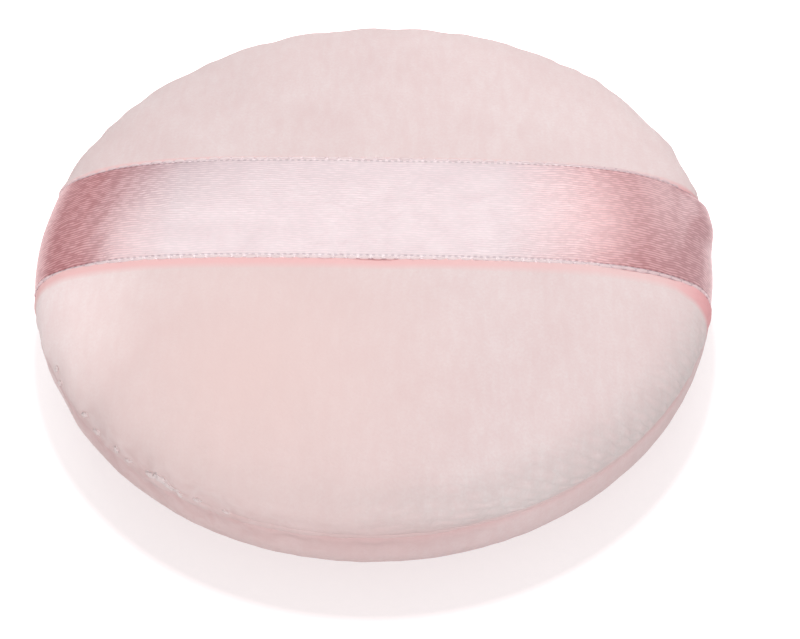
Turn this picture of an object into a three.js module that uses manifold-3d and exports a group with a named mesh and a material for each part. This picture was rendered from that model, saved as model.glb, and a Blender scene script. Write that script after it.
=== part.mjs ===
// Velour powder puff: two velour rounds sewn edge to edge over a sponge, turned right side out,
// with a satin ribbon strap whose two ends are caught in the seam. Millimetres, +Z up.
// The puff lies on its face at Z = 0, and the ribbon runs along X over its back.
import * as THREE from "three";
import { mergeVertices } from "three/addons/utils/BufferGeometryUtils.js";
import Module from "manifold-3d";

const wasm = await Module();
wasm.setup();

// Puff
const puffDiameter = 80;
const backRise = 9.2; // from the seam up to the crown of the back
const faceRise = 12.5; // from the seam down to the crown of the face, before it is pressed flat
const restDepth = 0.5; // how far the face is pressed flat where it lies

// A higher spread keeps a dome's crown level for longer, and a higher shoulder fills out its side
const backSpread = 3.8;
const backShoulder = 2.3;
const faceSpread = 3.3;
const faceShoulder = 2.8;

// The sewn puff is a little out of round: how far out of a true circle its rim is drawn, at
// headings in degrees, and how much of that the seam and the face below it share
const rimHeadings = [-180, -165, 0, 10, 25, 45, 60, 75, 90, 110, 135, 150, 165, 175, 180];
const rimOffsets = [
  -0.45, 0, 0, -0.15, 0, 0.1, -0.05, -0.5, -1, -1.25, -1.25, -1.1, -0.95, -0.7, -0.45,
];
const seamOffsetShare = 0.5;
const fullOffsetHeight = 2.5; // over the seam, where the back has all of that offset
const crownRadius = 15; // inside which nothing is drawn aside
const shoulderRadius = 36; // outside which all of it is

// Velour and the seam
const velourThickness = 1.6; // ground and pile together
const pressedThickness = 1.2; // of the seam allowance, with its pile crushed
const seamAllowance = 5;
const seamGap = 0.3; // between the two allowances
const lipHeight = 1.2; // where the side starts to roll in to the seam
const creaseDepth = 1.2; // how far the seam is drawn in from the rim
const clearance = 0.3; // between pieces that touch in the real puff

// Satin ribbon
const ribbonWidth = 16;
const ribbonThickness = 0.35;
const selvedgeWidth = 0.9;
const selvedgeThickness = 0.5;
const ribbonInset = 0.5; // of each end from the allowances' raw edges

// Sewing thread
const threadDiameter = 0.4;
const stitchLength = 3.5;
const stitchDip = 0.3; // how far each needle hole draws the thread in
const stitchInset = 1.5; // from the crease to the seam line
const turningGap = 30; // left open to turn and fill the puff, then closed by hand
const turningGapHeading = THREE.MathUtils.degToRad(237);
const closingStitchLength = 3;
const closingStitchHeight = 1.8; // from the lower lip to the upper

// Facets
const turns = 56;
const outsideSteps = 9;
const liningSteps = 6;
const lipSteps = 3;
const coreSteps = 7;
const strapSteps = 36;
const tailTurnSteps = 5;
const stepsPerStitch = 4;
const threadSides = 5;
const pathSamplesPerStep = 4;
const weldDistance = 1e-4;

// Places that several pieces share
const rimRadius = puffDiameter / 2;
const creaseRadius = rimRadius - creaseDepth;
const rawEdgeRadius = creaseRadius - seamAllowance;
const allowanceBottom = seamGap / 2;
const allowanceTop = allowanceBottom + pressedThickness;
const lipDrop = lipHeight - allowanceBottom;
const seamHeight = faceRise - restDepth;
const seamLineRadius = creaseRadius - stitchInset;
const halfTurningAngle = turningGap / 2 / rimRadius;

// A dome stands on a circle at its base, and its section is a quarter of a superellipse
function dome(radius, base, crown, spread, shoulder) {
  return { radius, base, rise: crown - base, spread, shoulder };
}

const backDome = dome(rimRadius, lipHeight, backRise, backSpread, backShoulder);
const faceDome = dome(rimRadius, lipHeight, faceRise, faceSpread, faceShoulder);

// The dome inside another, with its base on the seam allowance
function innerDome(outer, inset) {
  const crown = outer.base + outer.rise - inset;
  return dome(outer.radius - inset, allowanceTop, crown, outer.spread, outer.shoulder);
}

// How far down its side, from 0 at the crown to 1 at the rim, a dome passes a height
function sideShareAt(shape, height) {
  const upShare = Math.min((height - shape.base) / shape.rise, 1);
  return Math.acos(Math.pow(upShare, shape.shoulder / 2)) / (Math.PI / 2);
}

// Points of a dome's section between two shares of its side
function domeArc(shape, steps, fromShare, toShare) {
  const points = [];
  for (let i = 0; i <= steps; i++) {
    const turn = THREE.MathUtils.lerp(fromShare, toShare, i / steps) * (Math.PI / 2);
    const distance = shape.radius * Math.pow(Math.sin(turn), 2 / shape.spread);
    const height = shape.base + shape.rise * Math.pow(Math.cos(turn), 2 / shape.shoulder);
    points.push(new THREE.Vector2(distance, height));
  }
  return points;
}

// A dome's height, and the way its surface faces, at a distance from its axis
function domeSurface(shape, distance) {
  const outShare = Math.min(distance / shape.radius, 1);
  const upShare = Math.pow(1 - Math.pow(outShare, shape.spread), 1 / shape.shoulder);
  const facing = new THREE.Vector2(
    (shape.spread / shape.radius) * Math.pow(outShare, shape.spread - 1),
    (shape.shoulder / shape.rise) * Math.pow(upShare, shape.shoulder - 1),
  );
  return { height: shape.base + shape.rise * upShare, facing: facing.normalize() };
}

// The rolled lip at an angle: 0 at the rim, a quarter turn at the crease
function lipSurface(angle) {
  const point = new THREE.Vector2(
    creaseRadius + creaseDepth * Math.cos(angle),
    lipHeight - lipDrop * Math.sin(angle),
  );
  const facing = new THREE.Vector2(Math.cos(angle) / creaseDepth, -Math.sin(angle) / lipDrop);
  return { point, facing: facing.normalize() };
}

// Section of a cover: lining, raw edge, allowance, lip and outside, from axis to axis
function coverSection(outside, flatDepth) {
  const flatHeight = outside.base + outside.rise - flatDepth;
  const points = domeArc(innerDome(outside, velourThickness), liningSteps, 0, 1);
  points.push(new THREE.Vector2(rawEdgeRadius, allowanceTop));
  points.push(new THREE.Vector2(rawEdgeRadius, allowanceBottom));
  for (let i = 0; i < lipSteps; i++) {
    points.push(lipSurface((1 - i / lipSteps) * (Math.PI / 2)).point);
  }
  points.push(...domeArc(outside, outsideSteps, 1, sideShareAt(outside, flatHeight)));
  if (flatDepth > 0) points.push(new THREE.Vector2(0, flatHeight));
  return points;
}

// Section of the sponge, with the slot round its rim that the seam allowances press into
function coreSection() {
  const slotHeight = allowanceTop + stitchDip + threadDiameter + 2 * clearance;
  const slotRadius = rawEdgeRadius - clearance;
  const half = (outside) => {
    const skin = innerDome(outside, velourThickness + clearance);
    return domeArc(skin, coreSteps, 0, sideShareAt(skin, slotHeight));
  };
  const below = half(faceDome).map((point) => new THREE.Vector2(point.x, -point.y));
  return [
    ...below,
    new THREE.Vector2(slotRadius, -slotHeight),
    new THREE.Vector2(slotRadius, slotHeight),
    ...half(backDome).reverse(),
  ];
}

function revolve(section) {
  return new THREE.LatheGeometry(section, turns).rotateX(Math.PI / 2);
}

// Outline of the ribbon's section, across its width and out from its underside: satin between
// two thicker selvedges. A margin grows it on every side.
function ribbonOutline(margin) {
  const edge = ribbonWidth / 2 + margin;
  const weave = ribbonWidth / 2 - selvedgeWidth - margin;
  const under = -margin;
  const satin = ribbonThickness + margin;
  const selvedge = selvedgeThickness + margin;
  const corners = [
    [-edge, under],
    [-weave, under],
    [-weave / 2, under],
    [0, under],
    [weave / 2, under],
    [weave, under],
    [edge, under],
    [edge, selvedge],
    [weave, selvedge],
    [weave, satin],
    [weave / 2, satin],
    [0, satin],
    [-weave / 2, satin],
    [-weave, satin],
    [-weave, selvedge],
    [-edge, selvedge],
  ];
  return corners.map(([across, out]) => new THREE.Vector2(across, out));
}

// A point off the puff's surface, in a plane across the ribbon
function offSurface(run, across, height, facing, out) {
  const away = new THREE.Vector2(run, across).normalize();
  return new THREE.Vector3(
    run + away.x * facing.x * out,
    across + away.y * facing.x * out,
    height + facing.y * out,
  );
}

// Section of the strap at a share of its run: -1 and 1 at the rims, 0 over the crown
function strapSection(outline, runShare) {
  const wave = Math.pow(Math.sin(Math.abs(runShare) * (Math.PI / 2)), 2 / backDome.spread);
  return outline.map((corner) => {
    const halfRun = Math.sqrt(rimRadius ** 2 - corner.x ** 2);
    const run = Math.sign(runShare) * halfRun * wave;
    const { height, facing } = domeSurface(backDome, Math.hypot(run, corner.x));
    return offSurface(run, corner.x, height, facing, clearance + corner.y);
  });
}

// Stations of a ribbon end on the back cover: down the lip from just under the strap, then in
// along the allowance to its end
function tailStations(endRadius) {
  const startAngle = Math.asin(clearance / lipDrop);
  const stations = [];
  for (let i = 0; i <= tailTurnSteps; i++) {
    stations.push(lipSurface(THREE.MathUtils.lerp(startAngle, Math.PI / 2, i / tailTurnSteps)));
  }
  const end = new THREE.Vector2(endRadius, allowanceBottom);
  stations.push({ point: end, facing: new THREE.Vector2(0, -1) });
  return stations;
}

function tailSection(outline, station) {
  return outline.map((corner) => {
    const run = Math.sqrt(station.point.x ** 2 - corner.x ** 2);
    const out = clearance + corner.y;
    return offSurface(run, corner.x, station.point.y, station.facing, out);
  });
}

// Closed solid through a row of sections that share one outline, with flat ends
function loft(sections, outline) {
  const count = outline.length;
  const index = [];
  for (let i = 0; i + 1 < sections.length; i++) {
    for (let j = 0; j < count; j++) {
      const a = i * count + j;
      const b = i * count + ((j + 1) % count);
      index.push(a, b, b + count);
      index.push(a, b + count, a + count);
    }
  }
  const last = (sections.length - 1) * count;
  for (const [a, b, c] of THREE.ShapeUtils.triangulateShape(outline, [])) {
    index.push(a, c, b);
    index.push(last + a, last + b, last + c);
  }
  const geometry = new THREE.BufferGeometry().setFromPoints(sections.flat());
  geometry.setIndex(index);
  geometry.computeVertexNormals();
  return geometry;
}

function strapGeometry() {
  const outline = ribbonOutline(0);
  const sections = [];
  for (let i = 0; i <= strapSteps; i++) {
    sections.push(strapSection(outline, (2 * i) / strapSteps - 1));
  }
  return loft(sections, outline);
}

function tailGeometry(endRadius, margin) {
  const outline = ribbonOutline(margin);
  const sections = tailStations(endRadius).map((station) => tailSection(outline, station));
  return loft(sections, outline);
}

// Machine stitching round the seam line, on one face of the allowances
class SeamThread extends THREE.Curve {
  constructor(stitches) {
    super();
    this.stitches = stitches;
    this.start = turningGapHeading + halfTurningAngle;
    this.sweep = 2 * (Math.PI - halfTurningAngle);
    this.lowest = allowanceTop + clearance + threadDiameter / 2;
  }

  getPoint(t, target = new THREE.Vector3()) {
    const angle = this.start + this.sweep * t;
    const liftShare = (1 - Math.cos(2 * Math.PI * this.stitches * t)) / 2;
    const height = this.lowest + stitchDip * liftShare;
    return target.set(seamLineRadius * Math.cos(angle), seamLineRadius * Math.sin(angle), height);
  }
}

// Hand stitches that lace the two lips together over the turning gap
class ClosingThread extends THREE.Curve {
  constructor(stitches) {
    super();
    this.stitches = stitches;
    this.radius = rimRadius + clearance + threadDiameter / 2;
  }

  getPoint(t, target = new THREE.Vector3()) {
    const angle = turningGapHeading + halfTurningAngle * (2 * t - 1);
    const height = (closingStitchHeight / 2) * Math.cos(2 * Math.PI * this.stitches * t);
    return target.set(this.radius * Math.cos(angle), this.radius * Math.sin(angle), height);
  }
}

function threadGeometry(path) {
  const steps = path.stitches * stepsPerStitch;
  path.arcLengthDivisions = steps * pathSamplesPerStep;
  const corners = [];
  for (let i = 0; i < threadSides; i++) {
    const angle = (2 * Math.PI * i) / threadSides;
    const corner = new THREE.Vector2(Math.cos(angle), Math.sin(angle));
    corners.push(corner.multiplyScalar(threadDiameter / 2));
  }
  const options = { steps, extrudePath: path, bevelEnabled: false };
  return new THREE.ExtrudeGeometry(new THREE.Shape(corners), options);
}

// A closed geometry as a manifold solid, its shared vertices merged
function toSolid(geometry) {
  const bare = geometry.clone();
  bare.deleteAttribute("normal");
  bare.deleteAttribute("uv");
  const merged = mergeVertices(bare, weldDistance);
  const source = merged.index.array;
  const triangles = [];
  for (let i = 0; i < source.length; i += 3) {
    const [a, b, c] = source.subarray(i, i + 3);
    if (a !== b && b !== c && c !== a) triangles.push(a, b, c);
  }
  const vertProperties = merged.attributes.position.array;
  const triVerts = new Uint32Array(triangles);
  return new wasm.Manifold(new wasm.Mesh({ numProp: 3, vertProperties, triVerts }));
}

function toGeometry(solid) {
  const { vertProperties, triVerts } = solid.getMesh();
  const geometry = new THREE.BufferGeometry();
  geometry.setAttribute("position", new THREE.BufferAttribute(vertProperties, 3));
  geometry.setIndex(new THREE.BufferAttribute(triVerts, 1));
  geometry.computeVertexNormals();
  return geometry;
}

// The face cover's lip and allowance are pressed in, out to the raw edge, where the two ribbon
// ends lie on them
function withRibbonRoom(cover) {
  const room = tailGeometry(rawEdgeRadius - clearance, clearance);
  const right = toSolid(room);
  const left = toSolid(room.clone().rotateZ(Math.PI));
  return toGeometry(toSolid(cover).subtract(right).subtract(left));
}

function rimOffsetAt(heading) {
  const next = Math.max(
    rimHeadings.findIndex((place) => place >= heading),
    1,
  );
  const share =
    (heading - rimHeadings[next - 1]) / (rimHeadings[next] - rimHeadings[next - 1]);
  return THREE.MathUtils.lerp(rimOffsets[next - 1], rimOffsets[next], share);
}

// Draws a geometry, built round the seam plane, as far out of round as the puff is
function outOfRound(geometry) {
  const places = geometry.attributes.position;
  const place = new THREE.Vector3();
  for (let i = 0; i < places.count; i++) {
    place.fromBufferAttribute(places, i);
    const distance = Math.hypot(place.x, place.y);
    if (distance <= crownRadius) continue;
    const heading = THREE.MathUtils.radToDeg(Math.atan2(place.y, place.x));
    const riseShare = THREE.MathUtils.smoothstep(place.z, 0, fullOffsetHeight);
    const share =
      THREE.MathUtils.lerp(seamOffsetShare, 1, riseShare) *
      THREE.MathUtils.smoothstep(distance, crownRadius, shoulderRadius);
    const scale = 1 + (rimOffsetAt(heading) * share) / distance;
    places.setXYZ(i, place.x * scale, place.y * scale, place.z);
  }
  geometry.computeVertexNormals();
  return geometry;
}

const velour = new THREE.MeshStandardMaterial({ color: 0xeed9d8, roughness: 0.95, metalness: 0 });
const satin = new THREE.MeshStandardMaterial({ color: 0xecd3d9, roughness: 0.4, metalness: 0 });
const sponge = new THREE.MeshStandardMaterial({ color: 0xf4efe6, roughness: 0.9, metalness: 0 });
const thread = new THREE.MeshStandardMaterial({ color: 0xe9c9cc, roughness: 0.7, metalness: 0 });

function addPiece(parent, name, geometry, material) {
  const mesh = new THREE.Mesh(outOfRound(geometry), material);
  mesh.name = name;
  parent.add(mesh);
}

// Everything sewn together is built round the seam plane
const puff = new THREE.Group();
puff.position.z = seamHeight;

addPiece(puff, "sponge_core", revolve(coreSection()), sponge);

addPiece(puff, "back_cover", revolve(coverSection(backDome, 0)), velour);

const faceCover = revolve(coverSection(faceDome, restDepth)).rotateX(Math.PI);
addPiece(puff, "face_cover", withRibbonRoom(faceCover), velour);

const seamLength = 2 * (Math.PI - halfTurningAngle) * seamLineRadius;
const seamThread = threadGeometry(new SeamThread(Math.round(seamLength / stitchLength)));
const bobbinThread = seamThread.clone().rotateX(Math.PI).rotateZ(2 * turningGapHeading);
addPiece(puff, "seam_needle_thread", seamThread, thread);
addPiece(puff, "seam_bobbin_thread", bobbinThread, thread);

const closing = new ClosingThread(Math.round(turningGap / closingStitchLength));
addPiece(puff, "closing_stitches", threadGeometry(closing), thread);

const tail = tailGeometry(rawEdgeRadius + ribbonInset, 0);
addPiece(puff, "ribbon_tail_left", tail.clone().rotateZ(Math.PI), satin);
addPiece(puff, "ribbon_tail_right", tail, satin);

// The free span of the ribbon, which lifts off the back to let the fingers in
const strap = new THREE.Group();
strap.position.z = seamHeight;
addPiece(strap, "ribbon_strap", strapGeometry(), satin);

const powderPuff = new THREE.Group();
powderPuff.add(puff, strap);

export default powderPuff;
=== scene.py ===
"""Velour powder puff with a satin ribbon strap, dressed over its CAD frame, in a plain studio.

Metres, +Z up. The puff lies on its face at Z = 0 and the ribbon runs along X over its back.
"""

import math

import bmesh
import bpy
import numpy as np
from bpy.props import FloatProperty, FloatVectorProperty, IntProperty, PointerProperty
from bpy.types import Operator, Panel, PropertyGroup
from mathutils import Matrix, Vector, noise
from mathutils.bvhtree import BVHTree


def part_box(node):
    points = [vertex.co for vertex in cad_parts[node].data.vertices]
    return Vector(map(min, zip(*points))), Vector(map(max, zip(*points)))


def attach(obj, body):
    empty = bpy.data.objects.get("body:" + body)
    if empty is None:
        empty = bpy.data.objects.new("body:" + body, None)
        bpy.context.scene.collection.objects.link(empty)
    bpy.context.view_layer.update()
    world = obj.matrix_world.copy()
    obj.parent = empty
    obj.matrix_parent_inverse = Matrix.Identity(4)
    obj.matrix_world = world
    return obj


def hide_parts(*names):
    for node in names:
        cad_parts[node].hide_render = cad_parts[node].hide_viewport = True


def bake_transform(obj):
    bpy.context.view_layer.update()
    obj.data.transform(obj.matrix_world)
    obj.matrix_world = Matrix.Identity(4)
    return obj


bl_info = {
    "name": "Velour Powder Puff",
    "version": (1, 0, 0),
    "blender": (4, 5, 0),
    "location": "3D View > Sidebar > Powder Puff",
    "description": "Makes a velour powder puff with a satin ribbon strap, and a plain studio",
    "category": "Add Mesh",
}

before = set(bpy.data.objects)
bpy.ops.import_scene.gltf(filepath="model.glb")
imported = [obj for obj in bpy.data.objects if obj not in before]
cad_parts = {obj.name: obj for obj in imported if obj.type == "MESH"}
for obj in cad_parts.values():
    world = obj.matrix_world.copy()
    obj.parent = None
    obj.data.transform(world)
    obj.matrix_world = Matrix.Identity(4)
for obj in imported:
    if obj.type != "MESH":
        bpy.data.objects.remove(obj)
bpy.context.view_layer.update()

MM = 0.001
TAU = 2 * math.pi
QUARTER = math.pi / 2

# Places that the frame gives
BACK_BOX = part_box("back_cover")
STITCH_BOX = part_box("closing_stitches")
SEAM_PLANE = (STITCH_BOX[0].z + STITCH_BOX[1].z) / 2
PUFF_WIDTH = BACK_BOX[1].x - BACK_BOX[0].x

# The middle of the gap that the puff was turned through, and how far its sewing shows
TURNING_HEADING = math.radians(237)
TURNING_REACH = math.radians(42)

# The rim's radius in mm, which makes a heading a run round the rim in the patterns
RIM = 40.0

# Share of the cover's relief that the ribbon presses flat
PRESSED_SHARE = 0.9

# Seed of the noise that makes each selvedge loop differ from the next
LOOP_SEED = 1


def length(name, description, default):
    return FloatProperty(
        name=name, description=description, default=default, min=0, precision=5, unit="LENGTH"
    )


def number(name, description, default):
    return FloatProperty(name=name, description=description, default=default, min=0)


def count(name, description, default):
    return IntProperty(name=name, description=description, default=default, min=1)


def colour(name, description, default):
    return FloatVectorProperty(
        name=name, description=description, default=default, subtype="COLOR", min=0, max=1
    )


class VelourSettings(PropertyGroup):
    """Sizes of the two velour covers, and their colours"""

    diameter: length("Diameter", "Across the puff at its rim", PUFF_WIDTH)
    seam_height: length("Seam height", "Height of the seam over the rest plane", SEAM_PLANE)
    back_rise: length("Back rise", "Seam to the crown of the back", BACK_BOX[1].z - SEAM_PLANE)
    face_rise: length("Face rise", "Seam to the crown of the face before it lies flat", 0.0125)
    rest_depth: length("Rest depth", "How far the face is pressed flat", 0.0005)
    back_spread: number("Back spread", "How long the back's crown stays level", 3.8)
    back_shoulder: number("Back shoulder", "How full the back's side is", 2.3)
    face_spread: number("Face spread", "How long the face's crown stays level", 3.3)
    face_shoulder: number("Face shoulder", "How full the face's side is", 2.8)
    thickness: length("Thickness", "Ground and pile of the velour together", 0.0016)
    pressed_thickness: length("Pressed thickness", "Velour in the seam allowance", 0.0012)
    allowance: length("Seam allowance", "From the crease in to the raw edge", 0.005)
    seam_gap: length("Seam gap", "Between the two allowances", 0.00005)
    lip_height: length("Lip height", "Where the side starts to roll in to the seam", 0.0012)
    crease_depth: length("Crease depth", "How far the seam is drawn in from the rim", 0.00055)
    pucker: length("Pucker", "Most that the sewn velour puckers", 0.00015)
    excess: number("Excess", "Share of spare cloth round the seam, which puckers it", 0.03)
    ribbon_room: length("Ribbon room", "How far the face's lip gives way to the ribbon", 0.0009)
    lump_height: length("Lump height", "Of the soft lumps in the pile", 0.00006)
    comb_height: length("Comb height", "Of the pile combed aside at the lower right", 0.0001)
    turns: count("Turns", "Steps round a cover before it is smoothed", 128)
    tone: colour("Colour", "Velour pile", (0.845, 0.675, 0.67))
    # Also the painted shade along the seam, in the velour material
    deep_and_seam_shade_tone: colour("Deep colour", "Velour ground where the pile parts", (0.70, 0.475, 0.47))
    pale_tone: colour("Pale colour", "Tips of the pile", (0.88, 0.745, 0.74))
    warm_tone: colour("Warm colour", "Pile that powder has warmed", (0.875, 0.655, 0.625))
    # Painted shade over the far left of the back, in the velour material
    shade_patch_tint: colour("Shade patch tint", "Of pile brushed from the light", (0.94, 0.94, 0.94))
    # Painted shadow: the ribbon's shade, pink with light through the satin, on the pile past its
    # front edge, and the same at the right rim
    ribbon_shadow_tone: colour("Ribbon shadow colour", "Pile that the ribbon keeps from fading", (0.93, 0.57, 0.565))
    rim_shadow_tone: colour("Ruddy colour", "The same at the right rim", (0.8835, 0.4104, 0.4294))
    combed_tint: colour("Combed tint", "Of the pile combed aside", (0.885, 0.925, 0.92))
    # Painted shade: the face is made darker all over, as in the rim's shadow
    face_shade_tint: colour("Face tint", "Of the face, that powder has deepened", (0.955, 0.895, 0.9))


class RibbonSettings(PropertyGroup):
    """Sizes of the satin ribbon and its selvedges, and their colours"""

    width: length("Width", "Across the ribbon", 0.0165)
    aside: length("Aside", "Of the ribbon's middle, towards the front", 0.0005)
    drift: length("Drift", "How far each end spreads to the front at its rim", 0.0007)
    thickness: length("Thickness", "Of the satin", 0.00015)
    press: length("Press", "How far the ribbon presses the pile flat", 0.00026)
    gap: length("Gap", "Between the ribbon and the pile it presses", 0.00006)
    tautness: number("Tautness", "Share of the rim's roundness that the ribbon follows", 0.96)
    end_inset: length("End inset", "Of each end from the raw edge of the velour", 0.0005)
    front_lift: length("Front lift", "How far the front edge stands off the velour", 0.00002)
    fold_place: length("Fold place", "From the crown to the fold at the left end", 0.0385)
    fold_height: length("Fold height", "How far that fold stands off the velour", 0.0001)
    ear_height: length("Ear height", "How far the right end buckles out at the rim", 0.0008)
    sink: length("Sink", "How far the ribbon is pulled into the pile at the rims", 0.0002)
    bead_pitch: length("Bead pitch", "Between the loops along each selvedge", 0.00144)
    bead_length: length("Bead length", "Of a selvedge loop", 0.00145)
    bead_width: length("Bead width", "Of a selvedge loop", 0.0005)
    float_length: length("Float length", "Of a warp float in the satin", 0.0009)
    float_pitch: length("Float pitch", "Between rows of floats", 0.00036)
    tone: colour("Colour", "Satin", (0.33, 0.035, 0.05))
    light_tone: colour("Light colour", "Satin floats that catch the light", (0.58, 0.2, 0.215))
    # Painted highlight through the ribbon's middle and towards its right rim
    painted_highlight_tone: colour("Highlight colour", "Satin where fingers leave powder", (0.33, 0.18, 0.205))
    # Painted shade in the gaps between the loops, and painted shadow dashes beside them
    loop_gap_shade_tone: colour("Dash colour", "Weft that shows beside the loops", (0.48, 0.3, 0.33))
    dash_shadow_tint: colour("Dash tint", "Of the shaded dashes in that weft", (0.7, 0.7, 0.72))
    selvedge_tone: colour("Selvedge colour", "Loops along the edges", (0.80, 0.64, 0.65))
    # Painted shade, where the ribbon turns away from the light
    end_shade_tone: colour("End colour", "Loops towards the rims", (0.76, 0.54, 0.56))


class SewingSettings(PropertyGroup):
    """Sizes of the hand sewing and of the sponge, and their colours"""

    thread_diameter: length("Thread diameter", "Of one of the two plies", 0.00009)
    stitch_length: length("Stitch length", "Between closing stitches", 0.003)
    stitch_height: length("Stitch height", "From the lower lip to the upper", 0.0008)
    closing_length: length("Closing length", "Of the gap that is sewn shut by hand", 0.03)
    tuft_length: length("Tuft length", "Of a tuft of caught pile", 0.0023)
    matted_height: length("Matted height", "Of the pile matted over the seam", 0.0011)
    matted_depth: length("Matted depth", "Of the same pile, outwards", 0.00056)
    matted_inset: length("Matted inset", "Of its middle from the rim", 0.0005)
    thread_tone: colour("Thread colour", "Sewing thread", (0.80, 0.62, 0.62))
    sponge_tone: colour("Sponge colour", "Latex sponge", (0.90, 0.84, 0.74))


class StudioSettings(PropertyGroup):
    """The camera, the lamps and the floor"""

    elevation: FloatProperty(
        name="Elevation",
        description="Of the camera over the horizon",
        default=math.radians(48.3),
        subtype="ANGLE",
    )
    turn: FloatProperty(
        name="Turn",
        description="Of the camera round the puff",
        default=math.radians(1.1),
        subtype="ANGLE",
    )
    distance: length("Distance", "From the camera to the puff's middle", 0.2)
    lens: FloatProperty(name="Lens", description="Focal length", default=75.96, unit="CAMERA")
    aside: FloatProperty(
        name="Aside", description="Of the puff from the view's middle", default=-0.00306, precision=5
    )
    above: FloatProperty(
        name="Above", description="Of the puff over the view's middle", default=0.00717, precision=5
    )
    fill: number("Fill", "Strength of the light from all round", 0.53)
    key_power: number("Key power", "Of the softbox behind the puff, in watts", 1.32)
    front_power: number("Front power", "Of the large softbox over the camera, in watts", 5.0)
    strip_power: number("Strip power", "That the lamps at the sides share out, in watts", 0.1)
    floor_tone: colour("Floor colour", "Of the paper sweep", (0.67, 0.7, 0.7))
    floor_shade: colour("Floor shade", "Of the paper's faint grain", (0.65, 0.68, 0.68))
    floor_glow: number("Floor glow", "Share of plain white that the camera sees on it", 0.25)
    # Pinkish, which paints light bounced from the puff onto the floor near it
    glow_and_bounce_tone: colour("Glow colour", "Of that white, which evens out the floor", (1.0, 0.883, 0.891))
    glow_power: number("Glow power", "Strength of that white", 2.3)
    backdrop: number("Backdrop", "Level of the white that the satin reflects", 0.8)


def velour_settings():
    return bpy.context.scene.puff_velour


def ribbon_settings():
    return bpy.context.scene.puff_ribbon


def sewing_settings():
    return bpy.context.scene.puff_sewing


def studio_settings():
    return bpy.context.scene.puff_studio


def smooth(low, high, value):
    """0 below low, 1 above high, and a smooth step between them."""
    share = min(max((value - low) / (high - low), 0), 1)
    return share * share * (3 - 2 * share)


def hump(middle, reach, value):
    """1 at the middle, falling smoothly to 0 at its reach on either side."""
    return 1 - smooth(0, reach, abs(value - middle))


def angle_between(a, b):
    return abs((a - b + math.pi) % TAU - math.pi)


class Dome:
    """The round side of a cover: its section is a quarter of a superellipse on the rim."""

    def __init__(self, radius, base, crown, spread, shoulder):
        self.radius = radius
        self.base = base
        self.rise = crown - base
        self.spread = spread
        self.shoulder = shoulder

    def inner(self, inset, base):
        crown = self.base + self.rise - inset
        return Dome(self.radius - inset, base, crown, self.spread, self.shoulder)

    def point(self, side_share):
        """Distance from the axis and height, from 0 at the crown to 1 at the rim."""
        turn = side_share * QUARTER
        distance = self.radius * math.sin(turn) ** (2 / self.spread)
        height = self.base + self.rise * max(math.cos(turn), 0) ** (2 / self.shoulder)
        return distance, height

    def share_at(self, height):
        up = min((height - self.base) / self.rise, 1)
        return math.acos(up ** (self.shoulder / 2)) / QUARTER

    def arc(self, steps, start, end):
        return [self.point(start + (end - start) * i / steps) for i in range(steps + 1)]

    def surface(self, distance):
        """Height and facing (outward, upward) at a distance from the axis."""
        out = min(distance / self.radius, 1)
        up = (1 - out**self.spread) ** (1 / self.shoulder)
        facing = Vector(
            (
                self.spread / self.radius * out ** (self.spread - 1),
                self.shoulder / self.rise * up ** (self.shoulder - 1),
            )
        )
        return self.base + self.rise * up, facing.normalized()


def back_dome():
    v = velour_settings()
    return Dome(v.diameter / 2, v.lip_height, v.back_rise, v.back_spread, v.back_shoulder)


def face_dome():
    v = velour_settings()
    return Dome(v.diameter / 2, v.lip_height, v.face_rise, v.face_spread, v.face_shoulder)


def lip_point(angle):
    """The rolled lip's point and facing: angle 0 at the rim, a quarter turn at the crease."""
    v = velour_settings()
    drop = v.lip_height - v.seam_gap / 2
    crease = v.diameter / 2 - v.crease_depth
    point = (crease + v.crease_depth * math.cos(angle), v.lip_height - drop * math.sin(angle))
    facing = Vector((math.cos(angle) / v.crease_depth, -math.sin(angle) / drop)).normalized()
    return point, facing


def raw_edge_radius():
    v = velour_settings()
    return v.diameter / 2 - v.crease_depth - v.allowance


def cover_section(outside, flat_depth):
    """Section of a cover from axis to axis: lining, raw edge, allowance, lip and outside."""
    v = velour_settings()
    under = v.seam_gap / 2
    over = under + v.pressed_thickness
    edge = raw_edge_radius()
    flat_height = outside.base + outside.rise - flat_depth
    crease = v.diameter / 2 - v.crease_depth
    lining_steps, lip_steps, outside_steps = 10, 4, 22
    section = outside.inner(v.thickness, over).arc(lining_steps, 0, 1)
    section.append((edge, over))
    section.append((edge, under))
    section.append(((edge + crease) / 2, under))
    section += [lip_point((1 - i / lip_steps) * QUARTER)[0] for i in range(lip_steps)]
    section += outside.arc(outside_steps, 1, outside.share_at(flat_height))
    if flat_depth > 0:
        inner_radius = section[-1][0]
        section += [(inner_radius * share, flat_height) for share in (0.75, 0.5, 0.25, 0)]
    return section


def add_piece(name, bm):
    """Makes an object of a bmesh, linked to the scene, at the origin and unturned."""
    mesh = bpy.data.meshes.new(name)
    bm.to_mesh(mesh)
    bm.free()
    piece = bpy.data.objects.new(name, mesh)
    bpy.context.scene.collection.objects.link(piece)
    return piece


def round_off(piece):
    for face in piece.data.polygons:
        face.use_smooth = True


def subdivide(piece, levels):
    """Smooths a piece and puts the result into its mesh."""
    smoothing = piece.modifiers.new("Smoothing", "SUBSURF")
    smoothing.levels = levels
    smoothing.render_levels = levels
    bpy.context.view_layer.update()
    graph = bpy.context.evaluated_depsgraph_get()
    made = bpy.data.meshes.new_from_object(piece.evaluated_get(graph))
    piece.modifiers.clear()
    old = piece.data
    made.name = piece.name
    piece.data = made
    bpy.data.meshes.remove(old)


def spin_round(bm, angle, steps, use_merge=False):
    """Spins all that the bmesh holds about the upright axis."""
    bmesh.ops.spin(
        bm,
        geom=bm.verts[:] + bm.edges[:],
        cent=(0, 0, 0),
        axis=(0, 0, 1),
        dvec=(0, 0, 0),
        angle=angle,
        steps=steps,
        use_merge=use_merge,
    )


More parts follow.
